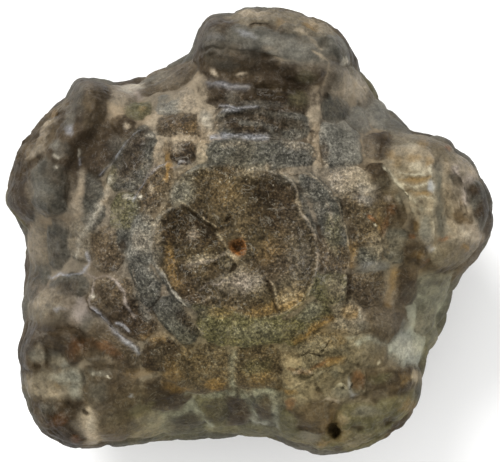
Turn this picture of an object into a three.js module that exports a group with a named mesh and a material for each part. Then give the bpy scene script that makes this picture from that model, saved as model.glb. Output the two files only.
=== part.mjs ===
// The stony cup (theca) of a fossil sea lily, lying on its crown with its base up.
//
// One solid of calcite and hardened lime mud. The base carries the round facet where the stem
// was fixed, with the stem's canal at its centre. Five lobes stand out round the cup, where the
// arms began; each has a raised brow of thick plates and, outside the brow, a rough broken end.
// The hidden side is the low domed crown, worn flat in the middle, which the fossil rests on.
//
// Units are millimetres, +Z is up, and the origin is the bottom centre of the bounding box.
import * as THREE from "three";

// Driving dimensions.
const HEIGHT = 23.5; // from the worn crown up to the rim of the stem facet
const CANAL_AXIS = new THREE.Vector2(-0.92, -0.96); // where the stem's canal stands in plan
const CANAL_RADIUS = 0.5;
const CANAL_DEPTH = 1.6;
const FACET_RADIUS = 6.3; // the round seat of the stem
const FACET_DISH = 0.45; // how far the seat is hollowed below its rim
const CONE_RADIUS = 8.6; // the foot of the raised cone that carries the seat
const CONE_DROP = 2.2; // how far that foot lies below the rim
const COLUMNS = 120; // facets round the cup

// The widest line seen from above: azimuth in degrees from +X, radius from the canal's axis.
const OUTLINE = [
  [2, 20.2], [8, 20.6], [14, 20.3], [19, 19.7], [25, 19.1], [32, 16.6], [42, 16.1], [54, 16.7],
  [60, 18.0], [66, 18.9], [74, 19.0], [82, 19.0], [90, 18.4], [97, 18.2], [102, 16.2],
  [108, 15.3], [117, 15.2], [126, 15.8], [130, 17.0], [135, 18.5], [141, 18.1], [150, 18.6],
  [158, 19.0], [170, 18.8], [176, 17.2], [184, 17.0], [193, 17.7], [203, 18.5], [208, 19.9],
  [215, 20.9], [224, 21.8], [231, 21.2], [236, 19.4], [243, 18.1], [248, 17.0], [256, 16.2],
  [270, 15.5], [280, 15.8], [287, 17.4], [296, 18.8], [305, 19.4], [314, 19.6], [320, 18.9],
  [328, 17.8], [338, 17.7], [346, 17.5], [352, 17.9], [357, 19.2],
];

// The middle of each arm lobe, and how far to either side it has fallen off to nothing.
const LOBES = [11.6, 80, 151.5, 219, 303];
const LOBE_CORE = 15;
const LOBE_EDGE = 34;

// The brow across each lobe: the points of its crest in plan, its height and its half width.
const BROWS = [
  { crest: [[14.0, 7.3], [14.8, 3.3], [15.6, -0.7]], height: 2.0, width: 2.0 },
  { crest: [[-3.3, 15.2], [-0.4, 14.7], [4.0, 14.0], [6.8, 14.2]], height: 2.6, width: 2.0 },
  { crest: [[-13.0, 10.6], [-14.0, 8.5], [-15.0, 6.1], [-15.8, 3.0]], height: 2.5, width: 2.0 },
  { crest: [[-16.0, -8.9], [-14.4, -9.3], [-12.4, -11.5], [-11.2, -15.0]], height: 2.0, width: 2.1 },
  { crest: [[12.2, -12.2], [9.6, -13.4], [6.4, -14.0], [4.0, -14.5]], height: 1.5, width: 2.0 },
];

// How far the face lies below the facet's rim, from the cone's foot (share 0) out to the widest
// line (share 1): midway between two lobes, and along the middle of a lobe.
const UPPER_FACE = [
  [0.04, 2.7, 2.6], [0.12, 3.1, 3.0], [0.24, 3.8, 3.5], [0.36, 4.7, 4.0], [0.47, 5.8, 4.5],
  [0.57, 6.9, 4.9], [0.66, 8.1, 5.3], [0.74, 9.3, 5.6], [0.81, 10.4, 6.0], [0.87, 11.4, 6.6],
  [0.92, 12.4, 7.5], [0.96, 13.4, 8.8], [0.99, 14.4, 10.2], [1.0, 15.2, 11.6],
];
// Below the widest line the crown narrows to these shares of the outline's radius.
const LOWER_FACE = [
  [0.985, 16.4, 13.4], [0.94, 17.8, 15.4], [0.86, 19.3, 17.5], [0.76, 20.6, 19.3],
  [0.65, 21.8, 20.9], [0.55, 22.7, 22.2], [0.47, 23.2, 23.0],
];
const FLAT_SHARES = [0.41, 0.2]; // the worn flat middle of the crown

// Share of the upper face at which a brow has its full height, and where it has died away.
const BROW_FULL = 0.72;
const BROW_GONE = 0.99;

const { degToRad, euclideanModulo, lerp, smoothstep } = THREE.MathUtils;

// Radius of the widest line at an azimuth in degrees, read from a smooth closed curve.
const outlineCurve = new THREE.CatmullRomCurve3(
  OUTLINE.map(([degrees, radius]) => {
    const turn = degToRad(degrees);
    return new THREE.Vector3(radius * Math.cos(turn), radius * Math.sin(turn), 0);
  }),
  true,
);
const outlineTable = outlineCurve
  .getPoints(OUTLINE.length * 10)
  .slice(0, -1)
  .map((point) => ({
    degrees: euclideanModulo(THREE.MathUtils.radToDeg(Math.atan2(point.y, point.x)), 360),
    radius: point.length(),
  }))
  .sort((a, b) => a.degrees - b.degrees);

function outlineRadius(degrees) {
  const found = outlineTable.findIndex((entry) => entry.degrees > degrees);
  const next = found < 0 ? 0 : found;
  const after = outlineTable[next];
  const before = outlineTable[euclideanModulo(next - 1, outlineTable.length)];
  const gap = euclideanModulo(after.degrees - before.degrees, 360);
  const along = euclideanModulo(degrees - before.degrees, 360);
  return lerp(before.radius, after.radius, along / gap);
}

// 1 along a lobe's middle, 0 between two lobes.
function lobeShare(degrees) {
  const offsets = LOBES.map((middle) => {
    return Math.abs(euclideanModulo(degrees - middle + 180, 360) - 180);
  });
  return 1 - smoothstep(Math.min(...offsets), LOBE_CORE, LOBE_EDGE);
}

function distanceToCrest(x, y, crest) {
  const spot = new THREE.Vector3(x, y, 0);
  const nearest = new THREE.Vector3();
  const gaps = crest.slice(1).map((end, i) => {
    const start = new THREE.Vector3(...crest[i], 0);
    new THREE.Line3(start, new THREE.Vector3(...end, 0)).closestPointToPoint(spot, true, nearest);
    return nearest.distanceTo(spot);
  });
  return Math.min(...gaps);
}

// Height that the nearest brow adds at a plan point.
function browHeight(x, y) {
  const heights = BROWS.map(({ crest, height, width }) => {
    const away = distanceToCrest(x, y, crest) / width;
    return height * Math.exp(-away * away);
  });
  return Math.max(...heights);
}

// The rings of the surface, from the canal's floor out over the facet's rim, down the face and
// in again under the crown. Each gives its plan radius and its height at an azimuth.
function plainRing(radius, depth) {
  return () => ({ radius, height: HEIGHT - depth });
}

function upperRing([share, between, along]) {
  const browShare = 1 - smoothstep(share, BROW_FULL, BROW_GONE);
  return (degrees) => {
    const radius = lerp(CONE_RADIUS, outlineRadius(degrees), share);
    const depth = lerp(between, along, lobeShare(degrees));
    const turn = degToRad(degrees);
    const x = CANAL_AXIS.x + radius * Math.cos(turn);
    const y = CANAL_AXIS.y + radius * Math.sin(turn);
    return { radius, height: HEIGHT - depth + browShare * browHeight(x, y) };
  };
}

function lowerRing([share, between, along]) {
  return (degrees) => ({
    radius: share * outlineRadius(degrees),
    height: HEIGHT - lerp(between, along, lobeShare(degrees)),
  });
}

const rings = [
  plainRing(0, CANAL_DEPTH),
  plainRing(CANAL_RADIUS * 0.9, CANAL_DEPTH),
  plainRing(CANAL_RADIUS, FACET_DISH),
  plainRing(FACET_RADIUS * 0.3, FACET_DISH),
  plainRing(FACET_RADIUS * 0.6, FACET_DISH * 0.8),
  plainRing(FACET_RADIUS * 0.86, FACET_DISH * 0.3),
  plainRing(FACET_RADIUS, 0),
  plainRing(lerp(FACET_RADIUS, CONE_RADIUS, 0.15), CONE_DROP * 0.15),
  plainRing(lerp(FACET_RADIUS, CONE_RADIUS, 0.55), CONE_DROP * 0.55),
  plainRing(CONE_RADIUS, CONE_DROP),
  ...UPPER_FACE.map(upperRing),
  ...LOWER_FACE.map(lowerRing),
  ...FLAT_SHARES.map((share) => lowerRing([share, HEIGHT, HEIGHT])),
  plainRing(0, HEIGHT),
];

// A plain turned blank with one point for each ring, whose points are then moved to their
// places. A turned profile runs from the bottom up, so the rings are taken in reverse.
function thecaGeometry() {
  const last = rings.length - 1;
  const profile = rings.map((_, i) => {
    const turn = (Math.PI * i) / last;
    return new THREE.Vector2(i === 0 || i === last ? 0 : Math.sin(turn), -Math.cos(turn));
  });
  const geometry = new THREE.LatheGeometry(profile, COLUMNS);
  const position = geometry.getAttribute("position");
  for (let i = 0; i < position.count; i++) {
    const degrees = (360 * (Math.floor(i / rings.length) % COLUMNS)) / COLUMNS;
    const { radius, height } = rings[last - (i % rings.length)](degrees);
    const x = CANAL_AXIS.x + radius * Math.cos(degToRad(degrees));
    const y = CANAL_AXIS.y + radius * Math.sin(degToRad(degrees));
    position.setXYZ(i, x, y, height);
  }
  geometry.computeBoundingBox();
  const middle = geometry.boundingBox.getCenter(new THREE.Vector3());
  geometry.translate(-middle.x, -middle.y, 0);
  geometry.computeVertexNormals();
  return geometry;
}

const calcite = new THREE.MeshStandardMaterial({ color: 0x675f4e, roughness: 0.7, metalness: 0 });
const theca = new THREE.Mesh(thecaGeometry(), calcite);
theca.name = "theca";

const fossil = new THREE.Group();
fossil.name = "crinoid_fossil";
fossil.add(theca);
export default fossil;
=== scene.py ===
"""The looks of a fossil sea lily's cup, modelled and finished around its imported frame.

The fossil lies on its worn crown with its base up: the round facet of the stem in the middle,
plates with seams and hardened mud round it, and five arm lobes with raised brows and broken ends.
"""

import math

import bpy
import numpy as np
from bpy.props import FloatProperty, FloatVectorProperty, IntProperty, PointerProperty
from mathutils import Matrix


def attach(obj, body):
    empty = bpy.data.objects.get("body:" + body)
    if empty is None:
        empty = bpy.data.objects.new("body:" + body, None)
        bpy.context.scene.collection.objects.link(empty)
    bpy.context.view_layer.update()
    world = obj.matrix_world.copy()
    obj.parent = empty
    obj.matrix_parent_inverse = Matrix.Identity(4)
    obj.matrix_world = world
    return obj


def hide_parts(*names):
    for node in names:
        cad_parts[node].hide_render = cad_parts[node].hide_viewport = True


bl_info = {
    "name": "Fossil sea lily cup",
    "version": (1, 0, 0),
    "blender": (4, 5, 0),
    "location": "3D View > Sidebar > Fossil",
    "description": "Builds a crinoid's fossil cup with its plates, seams and broken arm lobes",
    "category": "Add Mesh",
}

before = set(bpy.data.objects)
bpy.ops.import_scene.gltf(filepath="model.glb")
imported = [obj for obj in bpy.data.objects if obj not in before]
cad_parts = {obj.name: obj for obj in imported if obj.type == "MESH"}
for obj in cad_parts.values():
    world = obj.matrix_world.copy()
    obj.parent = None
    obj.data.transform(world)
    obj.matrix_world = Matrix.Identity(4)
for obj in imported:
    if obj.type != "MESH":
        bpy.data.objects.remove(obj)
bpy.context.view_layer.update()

MM = 0.001
# How finely a smooth curve is sampled.
CURVE_SAMPLES = 2001

# The cup's own measures in millimetres, in plan about the canal of the stem.
CANAL_AXIS = np.array((-0.92, -0.96))
HEIGHT = 23.5
CONE_RADIUS = 8.5
CONE_DROP = 2.2
# The facet's dish, and how squarely it turns up to the rim.
FACET_DISH = 0.42
DISH_POWER = 2.5
# The step down from the rim, and the share of the cone's width that it takes. Past it the cone
# falls evenly by the first share of its drop and ever more steeply by the second.
RIM_STEP = 0.26
RIM_STEP_WIDTH = 0.16
CONE_SLOPE = 0.2
CONE_BEND = 0.8
CONE_POWER = 1.7

# The widest line seen from above: azimuth in degrees and radius.
OUTLINE = (
    (2, 20.2), (8, 20.6), (14, 20.3), (19, 19.8), (21, 19.6), (22.5, 18.8), (25, 19), (28, 18.1),
    (32, 16.5), (42, 16.1), (54, 16.7), (60, 18), (66, 18.9), (74, 19), (82, 19), (88, 18.7), (92, 18.3),
    (98, 18.3), (100, 17.6), (103, 15.8), (108, 15.3), (117, 15.2), (126, 15.7), (130, 17), (134, 18.5),
    (139, 18), (147, 18.4), (152, 18.8), (158, 19), (170, 18.9), (174, 17.6), (178, 17.1), (189, 17.1),
    (193, 17.7), (203, 18.4), (206, 19.6), (210, 20.1), (217, 21.2), (223, 21.8), (231, 21.2), (236, 19.4),
    (243, 18.1), (248, 17), (256, 16.2), (270, 15.4), (280, 15.7), (286, 17), (291, 18.1), (299, 19),
    (309, 19.5), (316, 19.5), (321, 18.7), (328, 17.6), (337, 17.8), (346, 17.5), (352, 17.9), (356, 19.1),
)
# The edge of the stem's facet, in the same way.
FACET_EDGE = (
    (0, 6.1), (8, 6), (14, 5.6), (25, 5.7), (36, 6), (51, 6.4), (62, 6.2), (81, 5.9), (100, 6.1),
    (112, 6.5), (126, 6.8), (139, 6.6), (147, 6.2), (151, 5.7), (160, 6.3), (172, 6.7), (184, 6.8),
    (198, 6.5), (208, 6.3), (222, 6.4), (238, 5.7), (251, 5.2), (263, 5.1), (275, 5.7), (288, 6.2),
    (302, 6.5), (314, 6.7), (325, 6.8), (336, 6.6), (350, 6.4),
)
# Over how many degrees the corners of both are rounded.
OUTLINE_ROUNDING = 1.2
FACET_ROUNDING = 3.0
# Where the lobes point, and how far to each side a lobe stays whole and then ends, in degrees.
LOBES = (11.6, 80.0, 151.5, 219.0, 303.0)
LOBE_CORE = 15.0
LOBE_EDGE = 34.0

# Shares run from 0 at the canal, down the face and round to 1 at the middle of the crown. These
# are the edge of the facet, the foot of the cone and the edge of the crown's flat middle.
FACET_SHARE = 0.16
CONE_SHARE = 0.24
FLAT_SHARE = 0.90
# Down the face from the cone's foot to the crown's flat middle: share, share of the way out to the
# widest line, and how far below the facet's rim the face lies, between two lobes and along a lobe.
FACE = (
    (0.24, 0, 2.2, 2.2), (0.28, 0.12, 3.1, 3), (0.33, 0.26, 3.9, 3.6), (0.38, 0.4, 5.1, 4.2),
    (0.43, 0.54, 6.5, 4.8), (0.48, 0.68, 8.3, 5.3), (0.525, 0.8, 10.2, 5.9), (0.56, 0.89, 11.8, 6.9),
    (0.59, 0.95, 13.1, 8.3), (0.62, 0.985, 14.3, 10), (0.65, 1, 15.6, 12), (0.69, 0.97, 17.3, 14.4),
    (0.74, 0.84, 19.2, 17.3), (0.79, 0.6, 20.9, 19.7), (0.84, 0.29, 22.3, 21.8), (0.88, 0.02, 23.2, 23.1),
    (0.9, -0.12, 23.5, 23.5),
)
# How the sphere's own polar share turns into the section's: more of its points lie on the base.
SPREAD = ((0.0, 0.0), (0.21, 0.16), (0.30, 0.24), (0.76, 0.65), (1.0, 1.0))
# Over how much of the share the corners of both are rounded.
FACE_ROUNDING = 0.012
SPREAD_ROUNDING = 0.01
# From here on the listed plates give way to those of the flanks and the crown.
FLANK_SHARE = 0.625
# Where the search for the listed plates ends, and where that for the others starts.
LISTED_END = 0.72
FLANK_START = 0.55
# Between which shares these fade in or out: plates by the rim, the fields' relief, pits off the
# canal, the gaps between plates, the brows, all listed marks, and the flanks' own grain.
PLATES_IN = (0.165, 0.19)
FIELDS_IN = (0.2, 0.3)
PITS_IN = (0.0, 0.05)
GAPS_OUT = (0.50, 0.57)
BROWS_OUT = (0.56, 0.64)
MARKS_OUT = (0.60, 0.66)
FLANK_GRAIN_IN = (0.63, 0.72)
# The radii between which the grain turns soft, and how much of that the flanks lose again.
SOFTENING = (7.5, 15.5)
FLANK_GRAIN = 0.7

# The plates of the flanks and crown: spacing, size, height and stones, how many places are tried,
# how far past the crown's edge they may lie, and the seeds of both draws.
FLANK_SPACING = 2.3
FLANK_SIZE = 1.5
FLANK_RISE = 0.24
FLANK_STONES = ("slate", "brown", "slate", "olive", "umber")
FLANK_TRIES = 4000
FLANK_MARGIN = 0.03
PLACE_SEED = 7
STONE_SEED = 11
# How squarely the listed plates' outlines fill their ovals' boxes, how deep they reach, the least
# steepness at a seam, and how many points are passed over in finding a plate's height.
PLATE_SQUARENESS = 2.4
PLATE_DEPTH = 4.5
LEAST_STEEPNESS = 0.15
HEIGHT_STRIDE = 7
# A plate's dome and the cut of its seam, as shares of its height, and how far out the dome goes.
PLATE_DOME = 0.75
SEAM_CUT = 0.45
DOME_REACH = 1.15
DOME_END = 1.3
# Half widths of the seam and of its core, and how much the core adds.
SEAM_WIDTH = 0.30
SEAM_CORE = 0.12
CORE_CUT = 0.6
# The gaps that no plate reaches: depth, and where they start and end in the plate's measure.
GAP_DEPTH = 0.30
GAP_EDGE = (1.12, 1.4)
# Wear leaves a plate this much of its height, give or take.
WEAR_MEAN = 0.75
WEAR_SWING = 0.45
# How high the mud stands against the middle of a plate where nothing else is said, on the facet,
# and how uneven it is.
MUD_LEVEL = -0.22
FACET_MUD = -1.0
MUD_RELIEF = 0.05
# Heights of the relief: the fields, broad and fine noise all over, rough ground, pits, and the
# crown's flat middle, with how far from its edge that is kept above the floor.
FIELD_RELIEF = 0.30
BROAD_RELIEF = 0.05
FINE_RELIEF = 0.035
ROUGH_RELIEF = 0.26
ROUGH_FINE_RELIEF = 0.10
PIT_DEPTH = 0.07
ROUGH_PIT_DEPTH = 0.10
CROWN_RELIEF = 0.05
FLAT_MARGIN = 0.015
# The values of its noise at which a pit starts and is whole.
PIT_EDGE = (0.62, 1.0)
# How far the edges of plates wander: reach, size, seeds and octaves, and how much of the broad
# wandering lines and ovals follow.
BROAD_WARP = (0.28, 2.2, (3, 4, 5), 3)
FINE_WARP = (0.07, 0.7, (6, 7, 8), 2)
MAP_WARP = 0.6
# Edges and cracks are broken off here and there: the noise's ends, the least that stays of them,
# and how much more of them is left where they are whole.
BREAKS = (-0.45, 0.15)
UNBROKEN_LEAST = 0.55
UNBROKEN_SWING = 0.45
# Where the ovals of rough ground, of mud and the veil, and of stains fade out. Their own edge is 1.
ROUGH_EDGE = (0.6, 1.3)
MUD_EDGE = (0.5, 1.5)
STAIN_EDGE = (0.45, 1.45)
# How the noises fray a stain, and how much of a stain the mud takes.
STAIN_FRAY = (0.28, 0.22)
MUD_STAINING = 0.6
# A line's stone: its width against the relief, how the grain frays it, and how it hides the mud.
LINE_SPREAD = 1.1
LINE_FRAY = (0.8, 0.4)
LINE_COVER = (0.5, -0.32)
# How often the plates' tints are blended with their neighbours', and the places for the hollows.
TINT_ROUNDS = 5
HOLLOW_ROUNDS = 24

# The noises of the relief: size, seed, octaves, and how rough the finer octaves make it.
NOISES = {
    "breaks": (1.1, 52, 2),
    "fields": (4.5, 11, 2),
    "wear": (3.0, 15, 2),
    "broad": (1.5, 31, 3),
    "fine": (0.50, 32, 3, 0.6),
    "rough": (1.1, 33, 3, 0.6),
    "pits": (0.42, 40, 2),
    "mud": (0.9, 34, 4),
}
# The noise scatters its cells with large primes, steps on by seed and octave, mixes the bits and
# keeps 31 of them.
CELL_PRIMES = (73856093, 19349663, 83492791)
SEED_STEP = 2654435
OCTAVE_STEP = 97
SCATTER = (1103515245, 12345, 13, 60493)
BITS = 0x7FFFFFFF
# How far seeds and octaves are shifted, and what brings the sum back to about -1 to 1.
SEED_SHIFT = 17.31
OCTAVE_SHIFT = 5.7
NOISE_GAIN = 1.6

# The colours of the stone, as linear light. Lilac sheen is no stone but a painted sheen, laid as highlights
# on lit edges and faces.
STONES = {
    "slate": (0.045, 0.040, 0.029),
    "grey": (0.095, 0.085, 0.064),
    "umber": (0.026, 0.017, 0.009),
    # Bister is the darkest stone, and is also laid as painted shade in the deepest shadows.
    "bister": (0.011, 0.007, 0.003),
    "brown": (0.050, 0.035, 0.019),
    "drab": (0.088, 0.070, 0.045),
    "olive": (0.062, 0.053, 0.026),
    "ochre": (0.155, 0.090, 0.030),
    "rust": (0.110, 0.042, 0.012),
    "clay": (0.145, 0.114, 0.076),
    "tan": (0.225, 0.174, 0.112),
    "pale": (0.340, 0.295, 0.215),
    "lilac_sheen": (0.250, 0.240, 0.235),
    "silt": (0.207, 0.200, 0.158),
    "pink": (0.215, 0.172, 0.135),
}
FACET_STONE = (0.034, 0.024, 0.012)

# All places below are x and y in the frame, in millimetres.
# Brows: half width on the stem's side and on the outer side, height, and the crest's points.
BROWS = (
    # The lobe towards +Y: its two cheeks, the ridge that joins them, and the knuckle at each end.
    (1.4, 2.6, 2.5, ((-3, 14.8), (-1.9, 14.5), (-0.8, 14.5))),
    (1.2, 2.4, 2.1, ((2, 14.1), (3.4, 13.2), (4.9, 12.7))),
    (0.8, 1.9, 1.9, ((-0.6, 14.9), (1.2, 14.8), (2.4, 14.5))),
    (1.3, 1.3, 2.8, ((-3.1, 16.6), (-2.6, 15.9))), (1.25, 1.2, 2.5, ((6.7, 15.2), (7.1, 14.9))),
    # The lobe towards -X and +Y: its upper and its lower knuckle.
    (1.4, 1.6, 2.4, ((-13.1, 11.9), (-13, 10.3), (-13.4, 8.6), (-14.3, 7.2))),
    (1.3, 1.8, 1.8, ((-15.1, 5.9), (-15.5, 4.8), (-15.8, 3.6), (-15.8, 2.8))),
    # The lobe towards -X and -Y.
    (0.9, 0.8, 1.7, ((-17.8, -10.4), (-17.5, -9.3), (-16.7, -8.4), (-15.4, -7.9))),
    (1.2, 1.8, 1.8, ((-15.4, -7.9), (-14.2, -8.4), (-13.4, -9.3), (-13.1, -10.2))),
    (1.4, 1.4, 1, ((-13, -10.4), (-12.4, -11.8), (-12, -13))),
    # The worn lobe towards +X and -Y.
    (1.6, 1.6, 1, ((12.4, -12.9), (10.6, -13.6), (8.6, -14), (6.3, -14.2), (4.3, -14.4))),
    # The lobe towards +X.
    (2, 0.7, 1.1, ((13.4, 6.9), (14.3, 5.8), (14.5, 3), (14.5, 0.8), (14.6, -0.8), (14.8, -1.6))),
    (0.9, 0.9, 1, ((15.2, 6.6), (16.4, 6), (17.6, 4.8), (18.3, 3.5), (18.7, 1.6), (18.4, 0.2),
     (17.4, -0.6), (16.3, -0.9), (15.2, -1.6))),
)
# How sharply brows that meet stay apart, and how sharply one falls off.
BROW_BLEND = 4.0
BROW_POWER = 2.5
# Steps: width of the tread on the stem's side, width of the riser, height, and the edge's points.
STEPS = (
    (1.3, 0.3, 0.75, ((-3.3, 11.75), (-2.3, 11.45), (-0.9, 11.35), (1.3, 11.15), (3.5, 10.85))),
    (1.3, 0.22, 0.75, ((-2.4, 9.85), (-0.8, 9.7), (0.6, 9.85), (2, 9.6), (4.1, 9.1))),
    (1.5, 0.2, 0.65, ((-3, 7.3), (-1.2, 7.45), (0.2, 7.45), (2, 7.3), (4, 6.95))),
)
# Where the tread turns into the riser, in the measure of the side.
STEP_TURN = (-0.6, 0.6)
# Hollows and knobs: place, half length, half width, tilt in degrees, height.
HOLLOWS_AND_KNOBS = (
    # The facet: its canal, a small pit beside it, pin holes, and the sunk and raised thirds.
    (-0.9, -1.2, 0.46, 0.52, 0, -1), (-1.6, 1, 0.28, 0.16, 12, -0.35), (-3.3, 1.2, 0.09, 0.09, 0, -0.3),
    (-0.4, 2.6, 0.11, 0.11, 0, -0.25), (4.1, -4.2, 0.09, 0.09, 0, -0.25),
    (-1.3, -2.9, 0.18, 0.4, -35, -0.3), (-3, -3.1, 0.7, 0.45, -20, -0.25), (-4.3, 0.2, 2.1, 1.2, -25, -0.5),
    (-5.2, -2, 0.9, 1.9, 10, -0.32), (1.9, 2.3, 1.6, 1.6, 0, -0.28), (-1, -3.9, 1.9, 1.2, 0, 0.2),
    (3.2, -2.8, 1.4, 2.2, -20, 0.16), (-2.6, 3, 1.7, 1, 10, 0.14), (-0.6, -5.8, 1.9, 0.3, 0, -0.16),
    (0.4, 4.4, 1.5, 0.6, 0, 0.1),
    # The lobe towards +Y.
    (-1.4, 12.6, 2, 0.5, 0, -0.35), (3.5, 11.7, 1.6, 0.4, -20, -0.3), (1.15, 13.5, 0.22, 0.6, 0, -0.2),
    (1.5, 16.3, 1.3, 0.22, -8, -0.5), (3.3, 15.5, 0.9, 0.22, -30, -0.45), (-1.7, 17, 0.4, 0.5, 0, -0.35),
    (5.1, 16, 0.9, 0.7, 0, 0.25), (3, 17, 1, 0.4, -10, 0.3), (-2.9, 12.5, 0.45, 0.25, -40, 0.3),
    (-0.6, 12.5, 0.38, 0.18, 10, 0.3), (7.2, 13.2, 0.8, 0.5, 30, -0.5), (5.8, 14.9, 0.25, 0.8, -20, -0.5),
    # The lobe towards -X and +Y.
    (-15.05, 9.25, 0.5, 0.24, 32, -0.7), (-17.3, 7.4, 0.7, 0.5, 50, -0.5), (-16.9, 6.3, 1.2, 0.5, 30, 0.3),
    (-17, 5.4, 0.8, 0.4, 35, -0.4), (-18.2, 4.7, 0.5, 0.6, 0, -0.4), (-18.5, 2.8, 0.9, 0.9, 0, 0.35),
    (-16.3, 3.2, 0.7, 0.8, 0, 0.25), (-15.3, 7.8, 0.4, 0.9, -30, -0.4), (-17.2, 2.6, 0.3, 1, 15, -0.35),
    (-13.5, 5.8, 0.4, 0.5, 0, 0.2), (-15.8, 8.4, 0.5, 0.4, 40, 0.25),
    # The lobe towards -X and -Y.
    (-16.6, -9.6, 0.45, 1, 10, 0.35), (-16.7, -10.7, 0.14, 0.16, -20, -0.12),
    (-14.8, -10.4, 0.3, 0.8, 40, 0.25), (-15.9, -10.3, 0.25, 0.8, 5, -0.3),
    (-15.9, -14.3, 1.3, 0.9, -15, 0.5), (-14.9, -15, 1.2, 0.8, 15, 0.4), (-13.9, -16.8, 1, 0.5, -15, 0.4),
    (-15.6, -15.8, 0.6, 0.25, -30, -0.3), (-12.85, -14.3, 0.4, 0.18, -50, -0.3),
    (-12.5, -15.6, 0.5, 1.3, 10, 0.2), (-15.5, -12.3, 2, 0.8, 0, -0.35), (-15.3, -9.8, 1.1, 0.7, 0, -0.5),
    (-17.5, -12.6, 0.6, 0.8, 0, 0.3), (-13.7, -15.6, 0.5, 0.4, 0, -0.2),
    # The worn lobe towards +X and -Y.
    (6.85, -15.5, 0.6, 0.8, 8, -1), (6.85, -15.6, 0.4, 0.6, 8, -1.2), (6.9, -11.1, 0.35, 0.35, 30, -0.3),
    (8.7, -11.8, 0.5, 0.9, -18, 0.35), (8.1, -12.2, 0.12, 0.5, -15, -0.2),
    (6.1, -9.1, 0.1, 0.45, -30, -0.35), (4.5, -15.7, 0.6, 0.25, 0, -0.4), (8.7, -15.5, 0.4, 0.3, 0, -0.35),
    (7.1, -17.2, 0.4, 0.3, 0, -0.4), (11.1, -15.2, 0.6, 0.3, 20, -0.4), (5.7, -16.8, 0.5, 0.4, 0, 0.3),
    (9.4, -16.6, 0.8, 0.4, 20, 0.3), (11.2, -13.6, 1.1, 0.5, 10, 0.4), (13.2, -11.7, 0.5, 0.6, 0, 0.4),
    (12.6, -12.9, 0.6, 0.6, 0, -0.4), (4.6, -11.5, 0.8, 0.3, 20, -0.3), (3.6, -12.2, 0.9, 0.6, 0, 0.35),
    (7.7, -14.9, 0.45, 0.3, 0, 0.3), (5.4, -9, 1.2, 0.6, 0, 0.25), (9, -9.6, 0.7, 0.5, 0, 0.2),
    # The lobe towards +X and its broken end.
    (16.8, 2.2, 1.4, 2.4, 0, -0.9), (16, 1.5, 0.3, 0.5, 10, -0.25), (16.9, 1.1, 0.5, 0.28, -10, -0.12),
    (16.4, 4.2, 0.5, 0.28, -30, -0.15), (18.5, 2.5, 0.6, 1.3, 0, -0.3), (17.5, 1.7, 0.4, 0.5, 0, 0.45),
    (12.4, 5, 0.9, 0.7, 0, 0.2), (13.4, 1.5, 0.25, 0.2, 0, -0.12), (14, -0.3, 0.6, 0.8, 0, 0.15),
    (15, -2.9, 1.8, 0.4, -5, -0.35), (12.9, 0.3, 0.35, 0.9, 15, -0.35), (15.6, 6.7, 0.5, 0.35, -20, 0.2),
    (13, 1.8, 0.6, 0.5, 0, 0.25),
    # Deep spots in the fields between the lobes.
    (5.9, 6.2, 0.35, 0.7, 15, -0.25), (7.8, -4.4, 0.25, 1.1, -6, -0.25), (-0.7, -14, 0.3, 0.9, 20, -0.4),
    (10.3, 6.8, 0.5, 0.6, 0, -0.4), (-9.9, -1.3, 0.25, 0.35, 0, -0.3), (-9.2, -6.3, 0.7, 0.6, 20, -0.3),
)
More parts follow.
